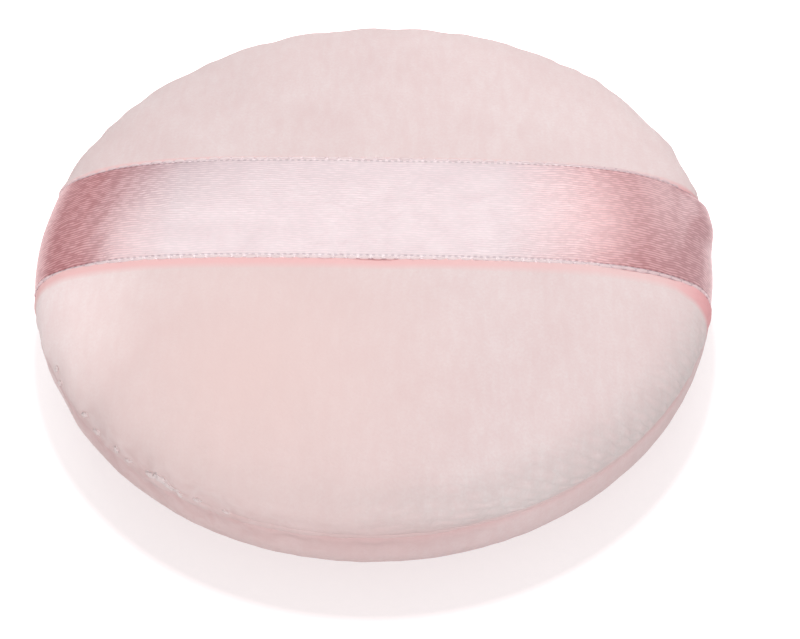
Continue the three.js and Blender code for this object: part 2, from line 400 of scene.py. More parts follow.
def put_in_order(bm):
    """Gives a copy of the bmesh in which edges and faces come in the order of their corners.

    Spinning leaves that order to chance, and the cloth would settle differently each run.
    """
    bm.verts.index_update()
    pairs = [sorted(vert.index for vert in edge.verts) for edge in bm.edges]
    rings = []
    for face in bm.faces:
        ring = [vert.index for vert in face.verts]
        first = ring.index(min(ring))
        rings.append(ring[first:] + ring[:first])
    ordered = bmesh.new()
    verts = [ordered.verts.new(vert.co) for vert in bm.verts]
    for pair in sorted(pairs):
        ordered.edges.new([verts[i] for i in pair])
    for ring in sorted(rings):
        ordered.faces.new([verts[i] for i in ring])
    bm.free()
    return ordered


def spun_shell(section, steps):
    """A closed shell: a section from axis to axis, spun all the way round."""
    bm = bmesh.new()
    verts = [bm.verts.new((distance, 0, height)) for distance, height in section]
    for pair in zip(verts, verts[1:]):
        bm.edges.new(pair)
    spin_round(bm, TAU, steps, use_merge=True)
    bmesh.ops.remove_doubles(bm, verts=bm.verts, dist=0.002 * MM)
    bmesh.ops.recalc_face_normals(bm, faces=bm.faces)
    return put_in_order(bm)


def vertex_places(mesh):
    places = np.empty(len(mesh.vertices) * 3, np.float64)
    mesh.vertices.foreach_get("co", places)
    return places.reshape(-1, 3)


def set_vertex_places(mesh, places):
    mesh.vertices.foreach_set("co", np.asarray(places, np.float32).ravel())
    mesh.update()


def push_out(piece, amount):
    """Moves each vertex along its normal by what the rule gives for its place, in mm."""
    mesh = piece.data
    places = vertex_places(mesh)
    facings = np.empty(len(mesh.vertices) * 3, np.float32)
    mesh.vertex_normals.foreach_get("vector", facings)
    facings = facings.reshape(-1, 3)
    moved = np.array([amount(*(place / MM)) for place in places]) * MM
    set_vertex_places(mesh, places + facings * moved[:, None])


def leave_puckers(places, moves):
    """Takes off what the cloth does alike all round, because the covers are cut to allow for it."""
    distance = np.hypot(places[:, 0], places[:, 1])
    outward = places[:, :2] / np.maximum(distance, 1e-9)[:, None]
    rings = np.round(np.stack([distance, places[:, 2]], axis=1) / (0.01 * MM))
    ring = np.unique(rings, axis=0, return_inverse=True)[1].ravel()
    sizes = np.bincount(ring)
    spread = np.bincount(ring, np.sum(moves[:, :2] * outward, axis=1)) / sizes
    rise = np.bincount(ring, moves[:, 2]) / sizes
    moves[:, :2] -= spread[ring][:, None] * outward
    moves[:, 2] -= rise[ring]


def pucker_velour(piece, is_sewn, spare_cloth):
    """Lets a cover settle over the sponge as cloth, sewn down where is_sewn says so.

    The cloth is cut larger than the seam that it is sewn into, so it puckers there.
    The simulation runs at ten times the size, at which Blender's cloth is steady.
    """
    v = velour_settings()
    scale = 10
    last_step = 22
    places = vertex_places(piece.data)
    work = bpy.data.objects.new("swelling", piece.data.copy())
    bpy.context.scene.collection.objects.link(work)
    start = places * scale
    for row, place in zip(start, places):
        row[2] += 0.0004 * noise.noise(Vector(place) / (4 * MM))
    set_vertex_places(work.data, start)
    sewn = work.vertex_groups.new(name="sewn")
    sewn.add([i for i, place in enumerate(places) if is_sewn(place)], 1, "REPLACE")
    work.shape_key_add(name="Basis")
    cut = work.shape_key_add(name="cut")
    for i, place in enumerate(places):
        spread = 1 + spare_cloth(place)
        cut.data[i].co = (start[i][0] * spread, start[i][1] * spread, start[i][2])
    cloth = work.modifiers.new("Swelling", "CLOTH")
    cloth.settings.quality = 8
    cloth.settings.mass = 0.3
    cloth.settings.tension_stiffness = 18
    cloth.settings.compression_stiffness = 18
    cloth.settings.shear_stiffness = 8
    cloth.settings.bending_stiffness = 0.8
    cloth.settings.air_damping = 2
    cloth.settings.use_pressure = True
    cloth.settings.uniform_pressure_force = 3
    cloth.settings.vertex_group_mass = "sewn"
    cloth.settings.rest_shape_key = cut
    cloth.settings.effector_weights.gravity = 0
    cloth.collision_settings.use_collision = False
    cloth.point_cache.frame_start = 1
    cloth.point_cache.frame_end = last_step
    scene = bpy.context.scene
    for step in range(1, last_step + 1):
        scene.frame_set(step)
    graph = bpy.context.evaluated_depsgraph_get()
    settled = work.evaluated_get(graph).to_mesh()
    moves = vertex_places(settled) / scale - places
    work.evaluated_get(graph).to_mesh_clear()
    scene.frame_set(1)
    work_mesh = work.data
    bpy.data.objects.remove(work)
    bpy.data.meshes.remove(work_mesh)
    leave_puckers(places, moves)
    reach = np.linalg.norm(moves, axis=1)
    limit = v.pucker * np.tanh(reach / v.pucker) / np.maximum(reach, 1e-9)
    covered = np.array([covered_by_ribbon(y / MM, z / MM) for _, y, z in places])
    free = 1 - PRESSED_SHARE * covered
    set_vertex_places(piece.data, places + moves * (limit * free)[:, None])


def pile_lumps(x, y, z):
    v = velour_settings()
    soft = noise.noise(Vector((x, y, z)) / 2.6)
    fine = noise.noise(Vector((x, y, z + 40)) / 1.1)
    return v.lump_height / MM * (0.9 * soft + 0.6 * fine)


def side_of_back(z):
    """How far up the back cover's side a height is, in mm of cloth from the crease."""
    return max(z - SEAM_PLANE / MM, 0)


# The pile is combed aside in lens-shaped locks that cross the rim at a slant and fan out.
# It starts and ends between these headings in degrees, and its lengths are in mm.
COMB_START = (-98, -72)
COMB_END = (-24, -8)
COMB_HEADING = math.radians(-60)
COMB_SLANT = math.radians(-38)
COMB_FAN = 0.88
COMB_STRETCH = 1.25
COMB_LENGTH = 2.9
COMB_PITCH = 1.2


def comb_share(x, y, z):
    """How much the pile is combed at a place, from 0 to 1, and the height of its lock there."""
    turn = math.atan2(y, x)
    heading = math.degrees(turn)
    window = smooth(*COMB_START, heading) * (1 - smooth(*COMB_END, heading))
    up = side_of_back(z) * COMB_STRETCH + 0.75 * max(38 - math.hypot(x, y), 0)
    window *= smooth(0.1, 1.2, up) * (1 - smooth(3.5, 11, up))
    if window <= 0:
        return 0, 0
    slant = COMB_SLANT - COMB_FAN * (turn - COMB_HEADING)
    along = (turn - COMB_HEADING) * RIM
    with_lock = along * math.cos(slant) + up * math.sin(slant)
    across_lock = up * math.cos(slant) - along * math.sin(slant)
    lock = noise.noise(Vector((with_lock / COMB_LENGTH, across_lock / COMB_PITCH, 7.3)))
    return window, lock


def combed_locks(x, y, z):
    window, lock = comb_share(x, y, z)
    return velour_settings().comb_height / MM * window * (lock + 0.5 * abs(lock))


# Headings of the dimples that the closing stitches draw into the front left rim
DIMPLE_HEADINGS = [math.radians(a) for a in (-150, -138, -125.5, -113, -100, -88.5)]
DIMPLE_DEPTH = 0.3
DIMPLE_REACH = 4.6

# Between the small gathers round the seam, in mm
GATHER_PITCH = 3.4


def closing_dimples(x, y, z):
    turn = math.atan2(y, x)
    depth = 0
    for heading in DIMPLE_HEADINGS:
        depth += DIMPLE_DEPTH * hump(0, DIMPLE_REACH, angle_between(turn, heading) * RIM)
    side = abs(z - SEAM_PLANE / MM)
    depth *= hump(2.0, 4.4, side) * smooth(0.3, 1.6, side)
    return -depth * smooth(33, 38, math.hypot(x, y))


def seam_gathers(x, y, z):
    """Small gathers all round, that die out a few millimetres from the seam."""
    turn = math.atan2(y, x)
    side = abs(z - SEAM_PLANE / MM)
    if side > 4.5 or math.hypot(x, y) < 36:
        return 0
    place = turn * RIM / GATHER_PITCH
    wave = noise.noise(Vector((place * 1.9, 0.15 * side, 5 if z > SEAM_PLANE / MM else 11)))
    depth = 0.22 - 0.12 * smooth(math.radians(-85), math.radians(-65), turn)
    return depth * wave * smooth(0.2, 1.2, side) * (1 - smooth(1.2, 4.5, side))


def ribbon_shift(up, across):
    """How far to the front a place across the ribbon lies, at a height from the seam."""
    r = ribbon_settings()
    share = min(max(0.5 - across / r.width, 0), 1)
    return r.aside + r.drift * share * (1 - smooth(0.5 * MM, 5 * MM, up))


def covered_by_ribbon(y, z):
    """1 under the ribbon and 0 beside it, for a place on the back in mm."""
    r = ribbon_settings()
    half = r.width / 2 / MM
    shift = ribbon_shift(z * MM - SEAM_PLANE, y * MM + r.aside) / MM
    return 1 - smooth(half - 0.8, half, abs(y + shift))


def back_relief(x, y, z):
    """The back's relief, which the ribbon presses flat where it lies."""
    r = ribbon_settings()
    covered = covered_by_ribbon(y, z)
    relief = pile_lumps(x, y, z) + combed_locks(x, y, z)
    relief += closing_dimples(x, y, z) + seam_gathers(x, y, z)
    sunk = r.sink / MM * smooth(29.5, 37, abs(x)) * smooth(0, 1.2, side_of_back(z))
    return relief * (1 - PRESSED_SHARE * covered) - (r.press / MM + sunk) * covered


def face_relief(x, y, z):
    relief = pile_lumps(x, y, z) * smooth(0.05, 0.6, z)
    return relief + closing_dimples(x, y, z) + seam_gathers(x, y, z)


# The puff is a little out of round: how far out its rim is, in mm, at headings in degrees
RIM_HEADINGS = (-180, -165, 0, 10, 25, 45, 60, 75, 90, 110, 135, 150, 165, 175, 180)
RIM_OFFSETS = (
    *(-0.35, 0, 0, 0, 0.35, 0.15, -0.05),
    *(-0.35, -0.9, -1.05, -1.05, -0.9, -0.75, -0.55, -0.35),
)


# Uneven scallops along the upper side of the far right rim, in the same units
SCALLOP_HEADINGS = (
    *(8, 11, 13.5, 16, 19, 22, 24.4, 26.6, 30, 33.3, 37),
    *(39, 41, 43.8, 45.5, 48, 50, 53.3, 55, 57, 60),
)
SCALLOP_OFFSETS = (
    *(0, -0.22, 0.04, -0.2, -0.06, 0.12, 0.22, 0.0, 0.0, -0.08, 0.19),
    *(0.24, 0.36, 0.44, 0.5, 0.1, 0.28, 0.12, 0.22, 0.07, 0),
)


def put_out_of_round(piece):
    """Draws the far left of the puff in and fills its far right, with soft scallops there.

    The middle stays as it is, and the face's side gives way half as much as the back's.
    """
    middle = 15
    places = vertex_places(piece.data)
    for place in places:
        x, y, z = place / MM
        distance = math.hypot(x, y)
        if distance < middle:
            continue
        turn = math.atan2(y, x)
        up = z - SEAM_PLANE / MM
        offset = float(np.interp(math.degrees(turn), RIM_HEADINGS, RIM_OFFSETS))
        offset *= 0.5 + 0.5 * smooth(0, 2.5, up)
        scallop = float(np.interp(math.degrees(turn), SCALLOP_HEADINGS, SCALLOP_OFFSETS))
        offset += scallop * smooth(33, 38, distance) * smooth(1.5, 3.5, up)
        offset *= smooth(middle, 36, distance)
        place[0] += offset * math.cos(turn) * MM
        place[1] += offset * math.sin(turn) * MM
    set_vertex_places(piece.data, places)


def make_back_velour():
    v = velour_settings()
    bm = spun_shell(cover_section(back_dome(), 0), v.turns)
    bmesh.ops.translate(bm, vec=(0, 0, v.seam_height), verts=bm.verts)
    piece = add_piece("back_velour", bm)
    lining_shift = v.thickness * 0.5

    def is_sewn(place):
        distance = math.hypot(place[0], place[1])
        up = place[2] - v.seam_height
        if up < v.lip_height * 0.9:
            return True
        outside = back_dome().surface(distance)[0] if distance < v.diameter / 2 else 0
        return up < outside - lining_shift and distance < v.diameter / 2 - lining_shift

    def spare_cloth(place):
        up = place[2] - v.seam_height
        return v.excess * (1 - smooth(v.lip_height, 5 * MM, up))

    pucker_velour(piece, is_sewn, spare_cloth)
    subdivide(piece, 2)
    push_out(piece, back_relief)
    put_out_of_round(piece)
    round_off(piece)
    piece.data.materials.append(velour_material("back_velour_pile"))
    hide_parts("back_cover")
    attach(piece, "puff")
    return piece


def give_way_to_ribbon(places):
    """The face's lip and allowance are pressed down where the ribbon ends lie on them."""
    v = velour_settings()
    r = ribbon_settings()
    half = r.width / 2
    drawn_in = 0.25 * MM
    for place in places:
        x, y, z = place
        down = v.seam_height - z
        shifted = abs(y + ribbon_shift(0, y + r.aside))
        covered = 1 - smooth(half + 0.2 * MM, half + 1.4 * MM, shifted)
        inward = smooth(30 * MM, 33 * MM, abs(x))
        lowered = 1 - smooth(0, v.seam_gap / 2 + v.pressed_thickness, down)
        place[2] -= v.ribbon_room * covered * inward * lowered
        rim = smooth(v.diameter / 2 - v.crease_depth, v.diameter / 2, abs(x))
        place[0] -= math.copysign(drawn_in, x) * covered * rim * lowered


def make_face_velour():
    v = velour_settings()
    bm = spun_shell(cover_section(face_dome(), v.rest_depth), v.turns)
    bmesh.ops.scale(bm, vec=(1, 1, -1), verts=bm.verts)
    bmesh.ops.reverse_faces(bm, faces=bm.faces)
    bmesh.ops.translate(bm, vec=(0, 0, v.seam_height), verts=bm.verts)
    piece = add_piece("face_velour", bm)
    places = vertex_places(piece.data)
    give_way_to_ribbon(places)
    set_vertex_places(piece.data, places)
    subdivide(piece, 2)
    push_out(piece, face_relief)
    places = vertex_places(piece.data)
    places[:, 2] = np.maximum(places[:, 2], 0)
    set_vertex_places(piece.data, places)
    put_out_of_round(piece)
    round_off(piece)
    piece.data.materials.append(velour_material("face_velour_pile", v.face_shade_tint))
    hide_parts("face_cover")
    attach(piece, "puff")
    return piece


def make_sponge():
    """The sponge inside, with the slot round its rim that the seam allowances press into."""
    v = velour_settings()
    room = 0.3 * MM
    base = v.seam_gap / 2 + v.pressed_thickness
    slot_height = base + 1.3 * MM
    slot_radius = raw_edge_radius() - room
    inset = v.thickness + room

    def half(dome):
        skin = dome.inner(inset, base)
        return skin.arc(14, 0, skin.share_at(slot_height))

    section = [(distance, -height) for distance, height in half(face_dome())]
    section.append((slot_radius, -slot_height))
    section.append((slot_radius, slot_height))
    section += reversed(half(back_dome()))
    bm = spun_shell(section, 72)
    bmesh.ops.translate(bm, vec=(0, 0, v.seam_height), verts=bm.verts)
    piece = add_piece("sponge", bm)
    subdivide(piece, 1)
    push_out(piece, lambda x, y, z: -0.08 * abs(noise.noise(Vector((x, y, z)) / 1.7)))
    put_out_of_round(piece)
    round_off(piece)
    piece.data.materials.append(sponge_material())
    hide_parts("sponge_core")
    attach(piece, "puff")
    return piece


class RibbonPath:
    """The way a ribbon half takes from the crown, over the rim and the lip, into the seam."""

    def __init__(self):
        v = velour_settings()
        r = ribbon_settings()
        self.dome = back_dome()
        self.radius = self.dome.radius
        dome_steps, lip_steps, end_steps = 240, 24, 20
        stations = []
        for i in range(dome_steps + 1):
            stations.append((*self.dome.point(i / dome_steps), 0.0))
        for i in range(1, lip_steps + 1):
            lip_turn = i / lip_steps * QUARTER
            stations.append((*lip_point(lip_turn)[0], lip_turn))
        end = raw_edge_radius() + r.end_inset
        crease = self.radius - v.crease_depth
        for i in range(1, end_steps + 1):
            distance = crease + (end - crease) * i / end_steps
            stations.append((distance, v.seam_gap / 2, QUARTER))
        self.table = np.array(stations)
        steps = np.hypot(np.diff(self.table[:, 0]), np.diff(self.table[:, 1]))
        self.runs = np.concatenate([[0], np.cumsum(steps)])
        self.flat_length = float(self.runs[-1])
        self.rim_run = float(self.runs[dome_steps])
        self.crease_run = float(self.runs[dome_steps + lip_steps])

    def place(self, run, across, out):
        """A point out from the velour, at a run from the crown and across the ribbon."""
        side = -1 if run < 0 else 1
        run = abs(run)
        distance, height, lip_turn = (
            float(np.interp(run, self.runs, self.table[:, k])) for k in range(3)
        )
        taut = ribbon_settings().tautness
        follow = taut + (1 - taut) * smooth(self.rim_run - 3 * MM, self.crease_run, run)
        flat_across = across
        if run <= self.rim_run:
            wave = distance / self.radius
            for _ in range(3):
                across = flat_across - ribbon_shift(height, flat_across)
                width_way = across * follow
                x = math.sqrt(self.radius**2 - width_way**2) * wave
                height, facing = self.dome.surface(math.hypot(x, width_way))
        else:
            across = flat_across - ribbon_shift(height, flat_across)
            width_way = across * follow
            x = math.sqrt(distance**2 - width_way**2)
            if run < self.crease_run:
                facing = lip_point(lip_turn)[1]
            else:
                facing = Vector((0, -1))
        away = Vector((x, width_way))
        away = away.normalized() if away.length > 1e-7 else Vector((1, 0))
        return Vector(
            (
                side * (x + away.x * facing.x * out),
                across + away.y * facing.x * out,
                height + facing.y * out + velour_settings().seam_height,
            )
        )


def ribbon_stand_off(path, run, across):
    """How far the ribbon's underside stands off the velour, beyond the gap it rests at."""
    r = ribbon_settings()
    away = abs(run)
    x = away / MM
    y = across / MM
    half = r.width / MM / 2
    free = 1 - smooth(path.rim_run - 2 * MM, path.crease_run, away)
    stand = r.front_lift * smooth(1.0, half, -y) ** 1.3 * (0.75 + 0.25 * smooth(10, 30, x))
    if run < 0:
        # A low fold across the left end, creased along its top, with ripples beside it
        fold = r.fold_place / MM + 0.05 * y
        tent = max(0, 1 - abs(x - fold) / 4.2)
        stand += r.fold_height * (tent - 0.12 * hump(fold, 0.5, x))
        stand += 0.02 * MM * math.sin((x + 0.55 * y) * 2.3) * hump(33.5, 4.5, x)
    else:
        # The right end buckles where it turns down over the rim, with ripples before it
        buckle = hump(path.rim_run / MM - 2.2, 4.5, x)
        ridge = smooth(-0.8, 3.6, y) * (1 - smooth(6.2, 8.0, y))
        stand += r.ear_height * buckle * ridge
        stand += 0.03 * MM * math.sin((x - 0.3 * y) * 1.9 + 0.6) * hump(38, 5, x)
    sunk = r.sink * smooth(30, 37.5, x) * (1 - smooth(path.rim_run, path.crease_run, away))
    return stand * free - sunk


def ribbon_flat_length():
    return RibbonPath().flat_length


def make_ribbon_half(side, name, nodes):
    """One half of the ribbon, from the crown to its end in the seam, as a thin closed slab."""
    r = ribbon_settings()
    path = RibbonPath()
    span = path.flat_length
    bm = bmesh.new()
    bmesh.ops.create_grid(bm, x_segments=132, y_segments=36, size=0.5)
    under_loops = 0.16 * MM
    bmesh.ops.scale(bm, vec=(span, r.width - under_loops, 1), verts=bm.verts)
    bmesh.ops.translate(bm, vec=(side * span / 2, 0, 0), verts=bm.verts)
    bmesh.ops.solidify(bm, geom=bm.faces, thickness=r.thickness)
    lowest = min(vert.co.z for vert in bm.verts)
    bmesh.ops.translate(bm, vec=(0, 0, -lowest), verts=bm.verts)
    weave = bm.loops.layers.uv.new("weave")
    for face in bm.faces:
        for loop in face.loops:
            place = loop.vert.co
            loop[weave].uv = (0.5 + place.x / (2 * span), 0.5 + place.y / r.width)
    for edge in bm.edges:
        if len(edge.link_faces) == 2 and edge.calc_face_angle(0) > 1:
            edge.smooth = False
    bmesh.ops.recalc_face_normals(bm, faces=bm.faces)
    for vert in bm.verts:
        run, across, up = vert.co
        away = max(abs(run), 1e-9) * side
        stand = ribbon_stand_off(path, away, across)
        vert.co = path.place(away, across, r.gap - r.press + stand + up)
    piece = add_piece(name, bm)
    put_out_of_round(piece)
    round_off(piece)
    piece.data.materials.append(satin_material())
    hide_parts(*nodes)
    return piece


def bead_matrix(path, run, across, lift, turn):
    """Where a selvedge loop lies: its long side along the ribbon, its back on the satin."""
    r = ribbon_settings()
    out = r.gap - r.press + ribbon_stand_off(path, run, across) + r.thickness + lift
    place = path.place(run, across, out)
    step = 0.1 * MM
    ahead = path.place(run + step, across, out)
    beside = path.place(run, across + step, out)
    along = (ahead - place).normalized()
    up = along.cross(beside - place).normalized()
    over = up.cross(along)
    frame_matrix = Matrix((along, over, up)).transposed().to_4x4()
    return Matrix.Translation(place) @ frame_matrix @ Matrix.Rotation(turn, 4, "Z")


def add_loops(bm, path, side, across, size):
    """A row of woven loops along one selvedge, each a little different from the next."""
    pitch = ribbon_settings().bead_pitch
    past_rim = 0.2 * MM
    lift = -0.06 * MM
    for i in range(int((path.rim_run + past_rim) / pitch)):
        run = side * (i + 0.5) * pitch
        wobble = noise.noise_vector(Vector((run / MM * 1.7, across / MM * 3.1, pitch / MM)))
        loop_size = (
            size[0] / 2 * (1 + 0.12 * wobble.x),
            size[1] / 2 * (1 + 0.25 * wobble.y),
            size[2] / 2 * (1 + 0.3 * wobble.z),
        )
        turn = math.radians(7) * wobble.y
        place = bead_matrix(path, run, across + 0.05 * MM * wobble.x, lift, turn)
        bmesh.ops.create_uvsphere(
            bm,
            u_segments=8,
            v_segments=5,
            radius=1,
            matrix=place @ Matrix.Diagonal((*loop_size, 1)) @ Matrix.Rotation(QUARTER, 4, "Y"),
        )


def make_selvedges(side, name):
    """Both selvedges of a ribbon half: a row of loops along each edge."""
    r = ribbon_settings()
    path = RibbonPath()
    bm = bmesh.new()
    bead_height = 0.32 * MM
    size = (r.bead_length, r.bead_width, bead_height)
    for edge in (-1, 1):
        add_loops(bm, path, side, edge * (r.width - r.bead_width) / 2, size)
    piece = add_piece(name, bm)
    put_out_of_round(piece)
    round_off(piece)
    piece.data.materials.append(selvedge_material())
    return piece


HALVES = (
    (-1, "ribbon_left", "selvedges_left", ("ribbon_tail_left", "ribbon_strap")),
    (1, "ribbon_right", "selvedges_right", ("ribbon_tail_right", "ribbon_strap")),
)


def blend_with_strap(piece):
    """Bakes the piece's placing into its mesh."""
    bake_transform(piece)


def thread_mesh(name, lines, thickness):
    """A mesh of round threads along lines of points, each given as (points, radii)."""
    curve = bpy.data.curves.new(name, "CURVE")
    curve.dimensions = "3D"
    curve.bevel_depth = thickness / 2
    curve.bevel_resolution = 1
    curve.use_fill_caps = True
    for points, radii in lines:
        spline = curve.splines.new("POLY")
        spline.points.add(len(points) - 1)
        for spot, place, radius in zip(spline.points, points, radii):
            spot.co = (*place, 1)
            spot.radius = radius
    drawn = bpy.data.objects.new(name, curve)
    bpy.context.scene.collection.objects.link(drawn)
    bpy.context.view_layer.update()
    graph = bpy.context.evaluated_depsgraph_get()
    mesh = bpy.data.meshes.new_from_object(drawn.evaluated_get(graph))
    bpy.data.objects.remove(drawn)
    bpy.data.curves.remove(curve)
    bm = bmesh.new()
    bm.from_mesh(mesh)
    bpy.data.meshes.remove(mesh)
    bmesh.ops.remove_doubles(bm, verts=bm.verts, dist=0.001 * MM)
    bmesh.ops.recalc_face_normals(bm, faces=bm.faces)
    return add_piece(name, bm)


def skin_radius(up):
    """How far out the covers' skin is, at a height from the seam plane."""
    v = velour_settings()
    if abs(up) > v.lip_height:
        dome = back_dome() if up > 0 else face_dome()
        return dome.point(dome.share_at(abs(up)))[0]
    drop = v.lip_height - v.seam_gap / 2
    share = min((v.lip_height - abs(up)) / drop, 1)
    return v.diameter / 2 - v.crease_depth + v.crease_depth * math.sqrt(1 - share * share)


def make_closing_stitches():
    """Whip stitches of two-ply thread over the turning gap, pulled down into the pile."""
    s = sewing_settings()
    v = velour_settings()
    stitches = round(s.closing_length / s.stitch_length)
    half_turn = s.closing_length / v.diameter
    slant = 0.9 * MM
    pull = 0.1 * MM
    twists = 1.6
    swing = s.thread_diameter / 2
    lowest = skin_radius(s.stitch_height / 2) - 0.12 * MM
    lines = []
    for stitch in range(stitches):
        middle = TURNING_HEADING + half_turn * (2 * (stitch + 0.5) / stitches - 1)
        for ply in (0, math.pi):
            points = []
            for i in range(13):
                share = i / 12
                turn = middle + (share - 0.5) * slant / skin_radius(0)
                up = s.stitch_height * (share - 0.5)
                sunk = pull * abs(2 * share - 1) ** 3
                twist = share * twists * TAU + ply
                radius = max(skin_radius(up), lowest) - sunk + swing * math.cos(twist)
                height = v.seam_height + up + swing * math.sin(twist)
                points.append((radius * math.cos(turn), radius * math.sin(turn), height))
            lines.append((points, [1] * len(points)))
    piece = thread_mesh("hand_closing", lines, s.thread_diameter)
    round_off(piece)
    piece.data.materials.append(thread_material("closing_thread", 0.8))
    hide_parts("closing_stitches")
    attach(piece, "puff")
    return piece


def matted_arc(start, end):
    """Matted pile along the seam from one heading to another, as a closed roll.

    It tapers to blunt ends, and is fatter and nearer the rim where the gap is sewn by hand.
    """
    s = sewing_settings()
    v = velour_settings()
    rim = v.diameter / 2
    taper = 1.5 * MM
    blunt = 0.2 * MM
    sway = 0.16 * MM
    steps = round((end - start) * rim / (0.25 * MM))
    bm = bmesh.new()
    bmesh.ops.create_circle(bm, segments=10, radius=0.5)
    bmesh.ops.scale(bm, vec=(s.matted_depth, s.matted_height, 1), verts=bm.verts)
    upright = Matrix.Rotation(QUARTER, 4, "X")
    bmesh.ops.transform(bm, matrix=upright, verts=bm.verts)
    bmesh.ops.translate(bm, vec=(rim - s.matted_inset, 0, 0), verts=bm.verts)
    turned = Matrix.Rotation(start, 4, "Z")
    bmesh.ops.transform(bm, matrix=turned, verts=bm.verts)
    spin_round(bm, end - start, steps)
    bmesh.ops.holes_fill(bm, edges=[e for e in bm.edges if e.is_boundary], sides=0)
    for vert in bm.verts:
        x, y, up = vert.co
        turn = (math.atan2(y, x) - start) % TAU + start
        along = turn * rim / MM
        clump = noise.noise(Vector((along / 1.7, 2.1, 0.4)))
        fine = noise.noise(Vector((along / 0.6, 5.2, 40 * up / MM)))
        fat = (1 + 0.3 * clump + 0.2 * fine) * smooth(0, taper, (turn - start) * rim + blunt)
        fat *= smooth(0, taper, (end - turn) * rim + blunt)
        sewn_by_hand = hump(TURNING_HEADING - TAU, TURNING_REACH, turn)
        out = (math.hypot(x, y) - rim + s.matted_inset) * fat
        middle = rim - s.matted_inset * (1 - 0.4 * sewn_by_hand)
        level = up * fat * (1 + 0.5 * sewn_by_hand)
        level += sway * noise.noise(Vector((along / 2.7, 8.8, 3.0)))
        vert.co = ((middle + out) * math.cos(turn), (middle + out) * math.sin(turn), level)
    bmesh.ops.recalc_face_normals(bm, faces=bm.faces)
    bmesh.ops.translate(bm, vec=(0, 0, v.seam_height), verts=bm.verts)
    return bm


def make_seam_pile():
    """Pile of both lips, matted over the seam on each side of the ribbon."""
    r = ribbon_settings()
    rim = velour_settings().diameter / 2
    half = r.width / 2
    clearance = 0.3 * MM
    before = math.asin((half + ribbon_shift(0, -half) + clearance) / rim)
    behind = math.asin((half - ribbon_shift(0, half) + clearance) / rim)
    arcs = (
        ("seam_pile_front", before - math.pi, -before),
        ("seam_pile_back", behind, math.pi - behind),
    )
    for name, start, end in arcs:
        piece = add_piece(name, matted_arc(start, end))
        put_out_of_round(piece)
        round_off(piece)
        piece.data.materials.append(bpy.data.materials["back_velour_pile"])
        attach(piece, "puff")


# Heading in degrees, height in mm from the seam, size and slant in degrees of each tuft
TUFTS = (
    (-151.0, 1.7, 0.5, 60),
    (-149.0, 0.9, 0.4, 35),
    (-140.5, 1.4, 0.45, 40),
    (-137.0, 0.8, 0.5, 20),
    (-131.8, 1.1, 0.5, 75),
    (-129.4, 0.5, 0.55, 30),
    (-124.6, 0.9, 0.6, 15),
    (-122.6, 1.2, 0.8, -10),
    (-121.0, 0.6, 1.0, -30),
    (-119.2, 0.2, 0.8, -45),
    (-116.0, 0.6, 0.45, 10),
    (-111.0, 0.5, 0.4, -15),
)


def velour_skins():
    graph = bpy.context.evaluated_depsgraph_get()
    covers = (bpy.data.objects[name] for name in ("back_velour", "face_velour"))
    return [BVHTree.FromObject(cover, graph) for cover in covers]


def radius_on_skin(skins, turn, height):
    """How far out the finished covers are at a heading. Looks past the crease between them."""
    inward = Vector((-math.cos(turn), -math.sin(turn), 0))
    height = max(height, SEAM_PLANE + 0.3 * MM)
    start = Vector((0, 0, height)) - inward * velour_settings().diameter
    hits = [skin.ray_cast(start, inward)[0] for skin in skins]
    return max(math.hypot(hit.x, hit.y) for hit in hits if hit)


def add_tuft(bm, skins, heading, up, size, slant):
    """A soft clump of caught pile that lies on the skin, with a ragged outline."""
    length_along = sewing_settings().tuft_length * size
    made = bmesh.ops.create_icosphere(bm, subdivisions=4, radius=0.5)
    turned = Matrix.Rotation(math.radians(slant), 2)
    for vert in made["verts"]:
        ragged = noise.noise(Vector(vert.co) * 5 + Vector((heading, size, 0)))
        fine = noise.noise(Vector(vert.co) * 13 + Vector((up, heading, 3)))
        spot = vert.co * (1 + 0.6 * ragged + 0.3 * fine)
        along, rise = turned @ Vector((spot.x * length_along, spot.y * length_along * 0.5))
        rise += up * MM
        turn = heading + along / skin_radius(0)
        radius = radius_on_skin(skins, turn, SEAM_PLANE + rise) + (0.36 * spot.z + 0.02) * MM
        vert.co = (radius * math.cos(turn), radius * math.sin(turn), SEAM_PLANE + rise)


def make_caught_pile():
    """Tufts of pile that the closing stitches have pulled out over the front left rim."""
    bm = bmesh.new()
    skins = velour_skins()
    for heading, up, size, slant in TUFTS:
        add_tuft(bm, skins, math.radians(heading), up, size, slant)
    bmesh.ops.recalc_face_normals(bm, faces=bm.faces)
    piece = add_piece("caught_pile", bm)
    round_off(piece)
    piece.data.materials.append(tuft_material())
    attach(piece, "puff")
    return piece


class Value:
    """What a node gives, to reckon with like a number."""

    def __init__(self, socket):
        self.socket = socket

    def __add__(self, other):
        return reckon("ADD", self, other)

    def __sub__(self, other):
        return reckon("SUBTRACT", self, other)

    def __rsub__(self, other):
        return reckon("SUBTRACT", other, self)

    def __mul__(self, other):
        return reckon("MULTIPLY", self, other)

    def __truediv__(self, other):
        return reckon("DIVIDE", self, other)

    def __rtruediv__(self, other):
        return reckon("DIVIDE", other, self)

    def __abs__(self):
        return reckon("ABSOLUTE", self)


def tree_of(values):
    return next(value.socket.id_data for value in values if isinstance(value, Value))


def set_inputs(node, inputs):
    """Sets a node's inputs by name or number, to plain values or to what other nodes give."""
    for name, value in inputs.items():
        if isinstance(value, Value):
            node.id_data.links.new(value.socket, node.inputs[name])
        else:
            node.inputs[name].default_value = value


def add_node(tree, kind, inputs=None, **settings):
    made = tree.nodes.new(kind)
    for name, value in settings.items():
        setattr(made, name, value)
    set_inputs(made, inputs or {})
    return made


def add_value(tree, kind, inputs=None, output=0, **settings):
    """Adds a node and gives one of its outputs."""
    return Value(add_node(tree, kind, inputs, **settings).outputs[output])


